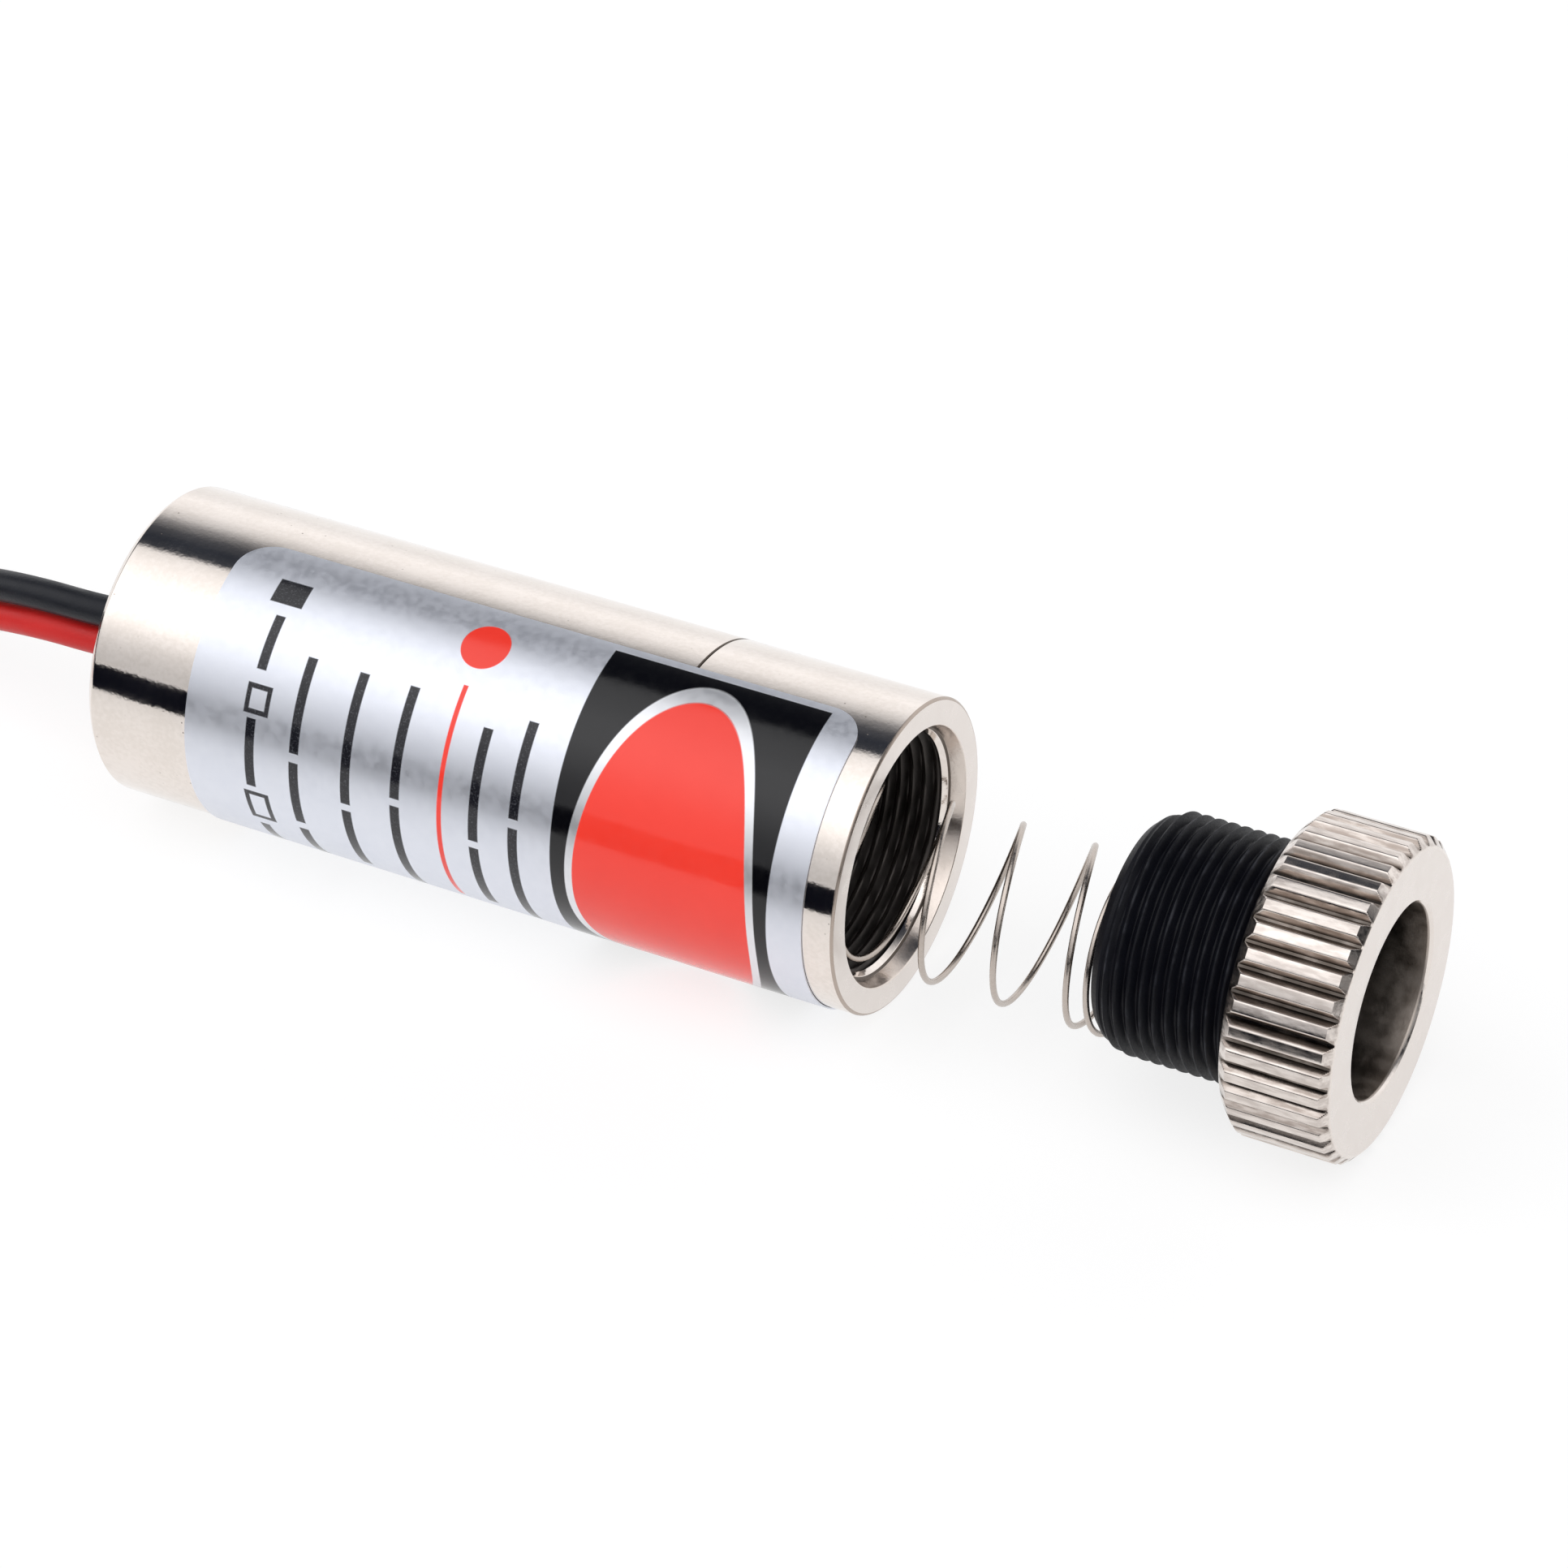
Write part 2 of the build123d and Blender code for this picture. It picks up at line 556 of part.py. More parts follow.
def make_lead(colour):
    """The free run of one lead, from the rear face to where it joins the coil."""
    route = lead_route(colour)
    radii = bend_radii(route)
    path = FilletPolyline(*route, radius=radii)
    section = Plane(path @ 0, x_dir=(0, 1, 0), z_dir=path % 0) * RegularPolygon(LEAD_RADIUS, WIRE_SIDES)
    tube = sweep(section, path=path)
    print(colour, "bend radii", [round(radius, 2) for radius in radii])
    print(colour, "volume", round(tube.volume, 2), "section by length", round(section.area * path.length, 2))
    return tube - make_lead_coil()


def make_lead_tie():
    """A flat band round the coil's far side, with its lock on top."""
    # the coil's inner wall curves in towards the band's edges
    inner = math.sqrt(COIL_INNER_RADIUS**2 - (TIE_WIDTH / 2) ** 2) - TIE_GAP
    outer = COIL_OUTER_RADIUS + TIE_GAP
    room = outer - inner
    far_side = COIL_CENTRE.X - (outer + inner) / 2
    middle = COIL_BOTTOM + COIL_HEIGHT / 2
    inside = Box(room, TIE_WIDTH, COIL_HEIGHT + 2 * TIE_GAP)
    growth = 2 * TIE_THICKNESS
    band = Box(room + growth, TIE_WIDTH, COIL_HEIGHT + 2 * TIE_GAP + growth) - inside
    top = COIL_HEIGHT / 2 + TIE_GAP + TIE_THICKNESS
    lock = Pos(Z=top + LOCK_HEIGHT / 2) * Box(LOCK_LENGTH, LOCK_WIDTH, LOCK_HEIGHT)
    return Pos(far_side, COIL_CENTRE.Y, middle) * (band + lock)


def make_tinned_tips():
    """The stripped ends, which point inwards from the coil's last turn."""
    last_angle = 90.0 + 360.0 * COIL_TURNS
    tips = Part()
    for level in COIL_LEVELS.values():
        centre = Pos(COIL_CENTRE.X, COIL_CENTRE.Y, level)
        wall = centre * Rot(Z=last_angle) * Pos(X=COIL_INNER_RADIUS)
        heading = wall * Rot(Z=90.0 + TIP_INWARD_ANGLE) * Rot(Y=90.0)
        tips += extrude(heading * RegularPolygon(CORE_RADIUS, WIRE_SIDES), TIP_LENGTH)
    return tips - make_lead_coil()


NODES = {
    "front_barrel": make_front_barrel(),
    "rear_sleeve": make_rear_sleeve(),
    "label": make_label(),
    "focus_ring": make_focus_ring(),
    "lens_holder": make_lens_holder(),
    "lens": make_lens(),
    "spring": make_spring(),
    "diode_stem": make_diode_stem(),
    "diode_can": make_diode_can(),
    "diode_window": make_diode_window(),
    "diode_post": make_diode_post(),
    "laser_chip": make_laser_chip(),
    "diode_pins": make_diode_pins(),
    "driver_board": make_driver_board(),
    "trim_pot": make_trim_pot(),
    "drive_transistor": make_drive_transistor(),
    "chip_capacitor": make_chip_capacitor(),
    "chip_resistors": make_chip_resistors(),
    "solder_joints": make_solder_joints(),
    "conductor_ends": make_conductor_ends(),
    "inner_lead_red": make_inner_lead("red"),
    "inner_lead_black": make_inner_lead("black"),
    "cable_bush": make_cable_bush(),
    "lead_red": make_lead("red"),
    "lead_black": make_lead("black"),
    "lead_coil": make_lead_coil(),
    "lead_tie": make_lead_tie(),
    "tinned_tips": make_tinned_tips(),
}

os.makedirs("parts", exist_ok=True)
for name, solid in NODES.items():
    export_step(solid, f"parts/{name}.step")
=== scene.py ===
import math

import bmesh
import bpy
from mathutils import Matrix, Vector


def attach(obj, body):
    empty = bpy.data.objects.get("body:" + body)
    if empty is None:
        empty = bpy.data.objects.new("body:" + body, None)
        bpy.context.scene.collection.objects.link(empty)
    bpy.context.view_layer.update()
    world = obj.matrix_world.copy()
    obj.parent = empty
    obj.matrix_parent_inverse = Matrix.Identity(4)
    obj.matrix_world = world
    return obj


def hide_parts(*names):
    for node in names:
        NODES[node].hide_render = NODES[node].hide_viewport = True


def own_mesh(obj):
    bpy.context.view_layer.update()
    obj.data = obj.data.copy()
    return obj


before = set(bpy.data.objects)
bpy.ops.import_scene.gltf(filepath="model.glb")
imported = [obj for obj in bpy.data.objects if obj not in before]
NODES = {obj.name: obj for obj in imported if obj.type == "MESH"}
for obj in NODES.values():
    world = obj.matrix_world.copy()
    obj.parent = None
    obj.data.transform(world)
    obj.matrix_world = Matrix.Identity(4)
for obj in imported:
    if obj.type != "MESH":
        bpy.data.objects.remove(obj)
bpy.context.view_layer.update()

MM = 0.001

# Sizes in millimetres, as in the part's source. X is the axis, and the barrel's face is at zero.
FLOOR = -6.0
BARREL_RADIUS = 6.0
SEAM_RADIUS = 5.95
FRONT_LENGTH = 8.25
SPIGOT_REAR = -12.0
SPIGOT_RADIUS = 5.29
SLEEVE_REAR = -31.3
SLEEVE_BORE = 5.3
REAR_WALL = -29.8
BUSH_RADIUS = 2.0
BORE_RADIUS = 4.55
THREAD_FRONT = -0.8
THREAD_REAR = -8.6
THREAD_PITCH = 0.5
THREAD_DEPTH = 0.28
SPRING_SEAT = -9.0
DIODE_SEAT = -10.0
DIODE_HOLE = 2.306
DIODE_POCKET = 2.81
RING_REAR = 14.7
RING_FRONT = 18.95
RIDGE_RADIUS = 6.0
GROOVE_FLOOR = 5.7
GROOVE_DEPTH = 0.3
GROOVE_HALF_MOUTH = 0.26
GROOVE_HALF_FLOOR = 0.05
GROOVES = 40
RING_BORE = 3.6
HOLDER_REAR = 9.1
HOLDER_BORE = 2.6
HOLDER_TIP = 4.2
HOLDER_RADIUS = 4.5
NOSE_RADIUS = 4.0
NOSE_FRONT = 15.95
LENS_REAR = 13.95
LENS_EDGE = 1.2
LENS_RADIUS = 3.2
LENS_POCKET = 3.21
LENS_SPHERE = 8.0
SPRING_WIRE = 0.12
SPRING_RADIUS = 3.199
SPRING_SIDE = -0.297
SPRING_RISE = -0.878
LEAD_RADIUS = 0.625
COIL_X = -56.0
COIL_Y = -3.2
COIL_FIRST_RADIUS = 7.8
COIL_TURN_PITCH = 1.3
COIL_TURNS = 2.5
COIL_LAST_RADIUS = 3.9
RED_LEVEL = -4.92
BLACK_LEVEL = -3.62
LABEL_FRONT = -1.2
LABEL_REAR = -26.9
LABEL_TOP = 85.0
LABEL_FOOT = -80.0
LABEL_INNER = 6.02
LABEL_OUTER = 6.08
LABEL_CORNER = 1.5
LABEL_ARC = LABEL_OUTER * math.pi / 180.0


def clamped(value):
    return min(1.0, max(0.0, value))


# Materials


class Graph:
    """A node tree, with short calls for the nodes that it is made of."""

    def __init__(self, tree):
        self.tree = tree

    def node(self, kind, **settings):
        made = self.tree.nodes.new(kind)
        for key, value in settings.items():
            setattr(made, key, value)
        return made

    def join(self, source, target):
        if isinstance(source, bpy.types.NodeSocket):
            self.tree.links.new(source, target)
        else:
            target.default_value = source

    def math(self, operation, first, second=0.0, clamp=False):
        made = self.node("ShaderNodeMath", operation=operation, use_clamp=clamp)
        self.join(first, made.inputs[0])
        self.join(second, made.inputs[1])
        return made.outputs[0]

    def split(self, vector):
        made = self.node("ShaderNodeSeparateXYZ")
        self.join(vector, made.inputs[0])
        return made.outputs

    def span(self, value, low, high, to_low=0.0, to_high=1.0):
        made = self.node("ShaderNodeMapRange", interpolation_type="SMOOTHSTEP")
        for socket, number in zip(made.inputs, (value, low, high, to_low, to_high)):
            self.join(number, socket)
        return made.outputs[0]


class Net(Graph):
    """A node material. Its lengths are in millimetres."""

    def __init__(self, name):
        self.material = bpy.data.materials.new(name)
        self.material.use_nodes = True
        super().__init__(self.material.node_tree)
        self.shader = self.tree.nodes["Principled BSDF"]
        scale = self.node("ShaderNodeVectorMath", operation="SCALE")
        self.join(self.node("ShaderNodeTexCoord").outputs["Object"], scale.inputs[0])
        scale.inputs["Scale"].default_value = 1.0 / MM
        self.place = scale.outputs[0]

    def axes(self):
        return self.split(self.place)

    def stretched(self, stretch):
        made = self.node("ShaderNodeVectorMath", operation="MULTIPLY")
        self.join(self.place, made.inputs[0])
        made.inputs[1].default_value = stretch
        return made.outputs[0]

    def noise(self, scale, detail=3.0, stretch=None):
        made = self.node("ShaderNodeTexNoise")
        self.join(self.stretched(stretch) if stretch else self.place, made.inputs["Vector"])
        made.inputs["Scale"].default_value = scale
        made.inputs["Detail"].default_value = detail
        return made.outputs["Fac"]

    def cells(self, scale):
        made = self.node("ShaderNodeTexVoronoi")
        self.join(self.place, made.inputs["Vector"])
        made.inputs["Scale"].default_value = scale
        return made.outputs["Distance"]

    def mix(self, share, first, second):
        made = self.node("ShaderNodeMix", data_type="RGBA")
        self.join(share, made.inputs[0])
        for colour, socket in ((first, made.inputs[6]), (second, made.inputs[7])):
            self.join(colour if isinstance(colour, bpy.types.NodeSocket) else (*colour, 1.0), socket)
        return made.outputs[2]

    def attribute(self, name):
        return self.node("ShaderNodeAttribute", attribute_name=name).outputs["Fac"]

    def bump(self, height, depth):
        made = self.node("ShaderNodeBump")
        self.join(height, made.inputs["Height"])
        made.inputs["Distance"].default_value = depth * MM
        self.join(made.outputs[0], self.shader.inputs["Normal"])

    def set(self, **sockets):
        for key, value in sockets.items():
            socket = self.shader.inputs[key.replace("_", " ")]
            if isinstance(value, tuple):
                value = (*value, 1.0)
            self.join(value, socket)


def nickel():
    net = Net("nickel_plate")
    cloud = net.noise(0.6, 4.0)
    grain = net.noise(9.0, 3.0)
    speck = net.span(net.cells(1.6), 0.035, 0.075, 1.0, 0.0)
    here = net.span(net.noise(0.35, 1.0), 0.46, 0.60, 0.12, 0.7)
    spot = net.math("MULTIPLY", speck, here)
    fine = net.math("MULTIPLY", net.noise(5.0, 3.0), 0.5)
    mottle = net.math("ADD", net.math("MULTIPLY", cloud, 0.5), fine)
    clean = net.mix(net.span(mottle, 0.38, 0.62), (0.765, 0.700, 0.647), (0.820, 0.755, 0.705))
    net.set(Base_Color=net.mix(spot, clean, (0.20, 0.165, 0.14)), Metallic=1.0)
    dull = net.span(mottle, 0.35, 0.70, 0.06, 0.11)
    net.set(Roughness=net.math("ADD", dull, net.math("MULTIPLY", spot, 0.4)))
    net.bump(net.math("ADD", grain, net.math("MULTIPLY", net.noise(2.2, 2.0), 2.0)), 0.0015)
    return net.material


def knurl_nickel():
    """Nickel plate with painted shade in the grooves, darkest at their floors, and streaks along the
    ridges.
    """
    net = Net("knurled_nickel")
    cloud = net.noise(1.1, 4.0)
    depth = net.attribute("groove")
    streak = net.noise(5.0, 4.0, (0.25, 1.0, 1.0))
    # Painted shade: the groove floors darkened almost to black, patchy with the cloud.
    dark_line_and_shade = net.math("MULTIPLY", net.span(depth, 0.6, 1.0), net.span(cloud, 0.2, 0.6, 0.45, 0.9))
    # Painted shade: the grooves' flanks darkened to brown, in streaks.
    flank_shade = net.math("MULTIPLY", net.span(depth, 0.06, 0.3), net.span(streak, 0.3, 0.65, 0.45, 1.0))
    clean = net.mix(cloud, (0.755, 0.690, 0.640), (0.825, 0.760, 0.715))
    worked = net.math("MULTIPLY", net.attribute("rim"), net.span(streak, 0.35, 0.65, 0.12, 0.6))
    colour = net.mix(worked, clean, (0.46, 0.40, 0.365))
    colour = net.mix(flank_shade, colour, (0.36, 0.305, 0.27))
    net.set(Base_Color=net.mix(dark_line_and_shade, colour, (0.07, 0.058, 0.048)), Metallic=1.0)
    net.set(Roughness=net.span(streak, 0.3, 0.75, 0.12, 0.27))
    net.bump(net.math("ADD", net.noise(7.0, 4.0), streak), 0.002)
    return net.material


def satin(name, light, dark, rough_low, rough_high):
    """Turned metal that is not polished, as in a bore, a seam or on a chamfered edge, in the colours
    given.
    """
    net = Net(name)
    cloud = net.noise(1.4, 4.0)
    net.set(Base_Color=net.mix(cloud, dark, light), Metallic=1.0)
    net.set(Roughness=net.span(cloud, 0.3, 0.7, rough_low, rough_high))
    net.bump(net.noise(8.0, 3.0), 0.003)
    return net.material


def ring_bore_shade():
    """The ring's bore: plated at its mouth and dull and dark further in; the darkening inwards is painted
    shade.
    """
    net = Net("ring_bore_shade")
    cloud = net.noise(1.4, 4.0)
    depth = net.math("ADD", net.axes()[0], net.math("MULTIPLY", cloud, 1.2))
    plate = net.mix(cloud, (0.34, 0.29, 0.25), (0.50, 0.45, 0.41))
    # Painted shade: the colour the bore darkens to further in.
    dull = (0.10, 0.088, 0.078)
    net.set(Base_Color=net.mix(net.span(depth, 16.4, 19.4), dull, plate), Metallic=1.0)
    net.set(Roughness=net.span(cloud, 0.3, 0.7, 0.30, 0.44))
    net.bump(net.noise(8.0, 3.0), 0.003)
    return net.material


def holder_black():
    """Black anodising with a painted highlight: paler in patches along the thread's crests."""
    net = Net("black_anodised")
    cloud = net.noise(1.2, 4.0)
    grain = net.noise(22.0, 2.0)
    # Painted highlight along the thread's crests.
    crest = net.span(net.attribute("crest"), 0.75, 1.0)
    edge = net.math("MULTIPLY", crest, net.span(cloud, 0.48, 0.72))
    dark = net.mix(cloud, (0.0012, 0.0014, 0.0035), (0.0045, 0.005, 0.009))
    net.set(Base_Color=net.mix(net.math("MULTIPLY", edge, 0.45), dark, (0.045, 0.047, 0.058)))
    net.set(Specular_IOR_Level=0.16, Roughness=net.span(grain, 0.3, 0.7, 0.38, 0.56))
    net.bump(grain, 0.004)
    return net.material


def foil_print():
    """The wrapped label: satin silver foil with plain printed shapes and no lettering.

    Shapes are placed by x in millimetres and by the angle up from the near side in degrees.
    """
    net = Net("label_foil_print")
    axes = net.axes()
    along = axes[0]
    round_the_barrel = net.math("ARCTAN2", axes[2], net.math("MULTIPLY", axes[1], -1.0))
    across = net.math("MULTIPLY", round_the_barrel, LABEL_OUTER)

    def off(value, centre):
        return net.math("ABSOLUTE", net.math("SUBTRACT", value, centre))

    def filled(distance, soft=0.025):
        return net.span(distance, -soft, soft, 1.0, 0.0)

    def box_distance(x, top, foot, wide):
        sideways = net.math("SUBTRACT", off(along, x), wide / 2)
        middle, half = (top + foot) / 2 * LABEL_ARC, (top - foot) / 2 * LABEL_ARC
        return net.math("MAXIMUM", sideways, net.math("SUBTRACT", off(across, middle), half))

    def bar(x, top, foot, wide=0.4):
        return filled(box_distance(x, top, foot, wide))

    def frame_line(x, top, foot, wide=0.85, line=0.1):
        edge = net.math("ABSOLUTE", box_distance(x, top, foot, wide))
        return filled(net.math("SUBTRACT", edge, line))

    def joined(shapes):
        total = shapes[0]
        for shape in shapes[1:]:
            total = net.math("MAXIMUM", total, shape)
        return total

    def oval_distance(x, middle, half_wide, half_up, half_down):
        sideways = net.math("DIVIDE", net.math("SUBTRACT", along, x), half_wide)
        rise = net.math("SUBTRACT", across, middle * LABEL_ARC)
        upper = net.math("DIVIDE", net.math("MAXIMUM", rise, 0.0), half_up * LABEL_ARC)
        lower = net.math("DIVIDE", net.math("MINIMUM", rise, 0.0), half_down * LABEL_ARC)
        upright = net.math("ADD", upper, lower)
        square = net.math("ADD", net.math("POWER", net.math("ABSOLUTE", sideways), 2.0),
                          net.math("POWER", net.math("ABSOLUTE", upright), 2.0))
        return net.math("MULTIPLY", net.math("SUBTRACT", net.math("SQRT", square), 1.0), half_wide)

    panel = bar(-7.0, 82.0, -77.0, 8.8)
    oval = oval_distance(-6.95, -11.0, 3.87, 88.5, 62.0)
    outline = filled(oval)
    red_field = filled(net.math("ADD", oval, 0.3))
    dot = filled(oval_distance(-16.0, 67.8, 0.95, 9.0, 9.0))
    red_line = bar(-16.02, 52.0, -42.0, 0.2)
    ink = joined([
        bar(-24.15, 71.0, 61.5, 1.35),
        bar(-24.1, 57.0, 37.0), frame_line(-23.95, 31.0, 22.0), bar(-24.1, 19.5, -8.0),
        frame_line(-23.95, -11.5, -25.0), bar(-24.1, -30.0, -56.0),
        bar(-22.2, 46.0, 11.0), bar(-22.2, 7.5, -20.0), bar(-22.2, -24.0, -60.0),
        bar(-20.0, 46.0, -3.0), bar(-20.0, -6.0, -40.0),
        bar(-17.9, 46.5, 5.5), bar(-17.9, 2.5, -46.0),
        bar(-14.6, 40.0, -2.0), bar(-14.6, -5.0, -39.0),
        bar(-12.95, 46.5, 11.5), bar(-12.95, 8.0, -45.0),
    ])

    cloud = net.noise(0.5, 3.0)
    grain = net.noise(14.0, 3.0)
    foil = net.mix(cloud, (0.73, 0.755, 0.83), (0.79, 0.81, 0.87))
    colour = net.mix(panel, foil, (0.0022, 0.0022, 0.0035))
    colour = net.mix(outline, colour, (0.80, 0.81, 0.84))
    red = net.mix(cloud, (0.89, 0.044, 0.028), (0.95, 0.056, 0.036))
    colour = net.mix(red_field, colour, red)
    colour = net.mix(joined([dot, red_line]), colour, red)
    inked = net.math("MULTIPLY", ink, net.span(grain, 0.2, 0.5, 0.90, 0.99))
    colour = net.mix(inked, colour, (0.0035, 0.0035, 0.007))
    dark = net.math("SUBTRACT", panel, net.math("SUBTRACT", outline, red_field))
    printed = joined([dark, red_field, dot, red_line, ink])
    net.set(Base_Color=colour)
    net.set(Metallic=net.math("SUBTRACT", 0.9, net.math("MULTIPLY", printed, 0.9), clamp=True))
    matt = net.span(net.noise(3.0, 4.0), 0.3, 0.7, 0.34, 0.42)
    net.set(Roughness=net.math("ADD", matt, net.math("MULTIPLY", printed, -0.25)))
    net.set(Specular_IOR_Level=0.5)
    height = net.math("ADD", net.math("MULTIPLY", printed, 0.8), net.math("MULTIPLY", grain, 0.25))
    net.bump(net.math("ADD", height, net.math("MULTIPLY", net.noise(0.7, 2.0), 3.0)), 0.004)
    return net.material


def wire_steel(name, light, dark, rough_low, rough_high):
    """Drawn or plated metal of fine parts."""
    net = Net(name)
    drawn = net.noise(6.0, 4.0)
    net.set(Base_Color=net.mix(drawn, dark, light), Metallic=1.0)
    net.set(Roughness=net.span(drawn, 0.3, 0.7, rough_low, rough_high))
    net.bump(net.noise(18.0, 2.0), 0.002)
    return net.material


def moulded(name, light, dark, rough_low, rough_high, scale=4.0, depth=0.006):
    """Plastic, rubber or ceramic with a fine grain."""
    net = Net(name)
    cloud = net.noise(scale * 0.4, 4.0)
    grain = net.noise(scale * 5.0, 3.0)
    net.set(Base_Color=net.mix(cloud, dark, light))
    net.set(Roughness=net.span(cloud, 0.3, 0.7, rough_low, rough_high), Specular_IOR_Level=0.3)
    net.bump(grain, depth)
    return net.material


def glass(name, tint):
    net = Net(name)
    smear = net.noise(1.5, 3.0)
    clear = net.mix(smear, tint, (0.97, 0.96, 0.93))
    net.set(Base_Color=clear, Transmission_Weight=1.0, IOR=1.5)
    net.set(Roughness=net.span(smear, 0.4, 0.8, 0.0, 0.04))
    return net.material


def board():
    """Green solder mask over copper tracks."""
    net = Net("board_green")
    cloud = net.noise(1.5, 3.0)
    lanes = net.math("SINE", net.math("MULTIPLY", net.axes()[1], 5.2))
    laid = net.span(net.noise(0.5, 1.0), 0.42, 0.5)
    track = net.math("MULTIPLY", net.span(lanes, 0.2, 0.45), laid)
    mask = net.mix(cloud, (0.012, 0.10, 0.035), (0.025, 0.16, 0.06))
    net.set(Base_Color=net.mix(net.math("MULTIPLY", track, 0.7), mask, (0.05, 0.26, 0.10)))
    net.set(Roughness=net.span(cloud, 0.3, 0.7, 0.22, 0.38), Coat_Weight=0.3)
    net.bump(track, 0.03)
    return net.material


NICKEL = nickel()
# Painted shade: the thread bore's metal darkened to near black, for the shade inside the barrel.
BORE_SHADE = satin("bore_thread_shade", (0.115, 0.105, 0.10), (0.06, 0.053, 0.049), 0.40, 0.58)
FACE = satin("faced_nickel", (0.835, 0.775, 0.735), (0.775, 0.715, 0.67), 0.26, 0.36)
MOUTH = satin("mouth_wall", (0.80, 0.725, 0.67), (0.62, 0.545, 0.49), 0.16, 0.28)
# Painted reflection: the chamfers' metal darkened to brown, for the dark reflection along plated edges.
CHAMFER_REFLECTION = satin("chamfer_dark_reflection", (0.54, 0.46, 0.405), (0.38, 0.315, 0.27), 0.22, 0.38)
# Dark colour for the seam between the barrel's two pieces, and painted shade in the corner of the mouth's
# step.
SEAM_DARK_AND_SHADE = satin("seam_dark_and_shade", (0.20, 0.165, 0.14), (0.075, 0.06, 0.05), 0.35, 0.50)
STEEL = wire_steel("spring_wire", (0.60, 0.535, 0.485), (0.43, 0.375, 0.335), 0.20, 0.32)
RED_PLASTIC = moulded("red_sleeving", (0.66, 0.022, 0.020), (0.55, 0.015, 0.014), 0.36, 0.50,
                      2.0, 0.012)
BLACK_PLASTIC = moulded("black_sleeving", (0.009, 0.011, 0.017), (0.005, 0.006, 0.010), 0.36, 0.52,
                        2.0, 0.012)


# Meshes


def build(name, points, faces, materials, body, stands_for,
          face_materials=None, sharp=32.0, values=None):
    """A mesh piece from points in millimetres. It rides on a body and stands for the named nodes."""
    mesh = bpy.data.meshes.new(name)
    mesh.from_pydata([tuple(c * MM for c in point) for point in points], [], faces)
    for material in materials:
        mesh.materials.append(material)
    if face_materials:
        mesh.polygons.foreach_set("material_index", face_materials)
    for key, numbers in (values or {}).items():
        mesh.attributes.new(key, "FLOAT", "POINT").data.foreach_set("value", numbers)
    work = bmesh.new()
    work.from_mesh(mesh)
    bmesh.ops.remove_doubles(work, verts=work.verts, dist=1e-8)
    bmesh.ops.recalc_face_normals(work, faces=work.faces)
    work.to_mesh(mesh)
    work.free()
    mesh.polygons.foreach_set("use_smooth", [True] * len(mesh.polygons))
    mesh.set_sharp_from_angle(angle=math.radians(sharp))
    piece = bpy.data.objects.new(name, mesh)
    bpy.context.scene.collection.objects.link(piece)
    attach(piece, body)
    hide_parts(*stands_for)
    return piece


def softened(corners, radius, steps=3):
    """The corners of an open outline, each one between two others rounded off."""
    out = [corners[0]]
    for before, corner, after in zip(corners, corners[1:], corners[2:]):
        here = Vector(corner)
        to_before = Vector(before) - here
        to_after = Vector(after) - here
        reach = min(radius, 0.4 * to_before.length, 0.4 * to_after.length)
        start = here + to_before.normalized() * reach
        end = here + to_after.normalized() * reach
        for step in range(steps + 1):
            t = step / steps
            out.append(tuple(start * (1 - t) ** 2 + here * (2 * t * (1 - t)) + end * t**2))
    out.append(corners[-1])
    return out


def grid_faces(rows, columns, close_rows, close_columns):
    faces = []
    for i in range(rows if close_rows else rows - 1):
        for j in range(columns if close_columns else columns - 1):
            a, b = i * columns, (i + 1) % rows * columns
            faces.append((a + j, a + (j + 1) % columns, b + (j + 1) % columns, b + j))
    return faces


def thread_wave(x, angle):
    """0 on a thread's crest and 1 at its root, for a right-handed thread with narrow flats."""
    place = (x / THREAD_PITCH - angle / (2 * math.pi)) % 1.0
    slope = 1.0 - abs(2.0 * place - 1.0)
    flat = 0.12
    return clamped((slope - flat) / (1.0 - 2.0 * flat))


def turned(name, outline, segments, materials, body, stands_for, inside=False):
    """A turned piece.

    Each point of the closed outline is x, radius, how much thread is cut there, and material.
    """
    points, crest = [], []
    for x, radius, cut, _ in outline:
        for j in range(segments):
            angle = 2 * math.pi * j / segments
            wave = thread_wave(x, angle) if cut else 0.0
            r = radius + (1 if inside else -1) * cut * THREAD_DEPTH * wave
            points.append((x, r * math.cos(angle), r * math.sin(angle)))
            crest.append(cut * (1.0 - wave))
    faces = grid_faces(len(outline), segments, True, True)
    face_materials = [point[3] for point in outline for _ in range(segments)]
    build(name, points, faces, materials, body, stands_for, face_materials,
          values={"crest": crest})


def plain(corners, radius, material=0):
    return [(x, r, 0.0, material) for x, r in softened(corners, radius)]


def threaded(x_from, x_to, radius, fade, material):
    """Closely spaced points along a threaded run, whose thread fades out at its ends."""
    step = 0.035
    count = round(abs(x_to - x_from) / step)
    out = []
    for i in range(count + 1):
        x = x_from + (x_to - x_from) * i / count
        end = min(abs(x - x_from), abs(x - x_to))
        out.append((x, radius, min(1.0, end / fade), material))
    return out


def marked(outline, x_low, x_high, r_low, r_high, material):
    """The outline with another material between the given limits."""
    return [(x, r, cut, material if x_low <= x <= x_high and r_low <= r <= r_high else kept)
            for x, r, cut, kept in outline]


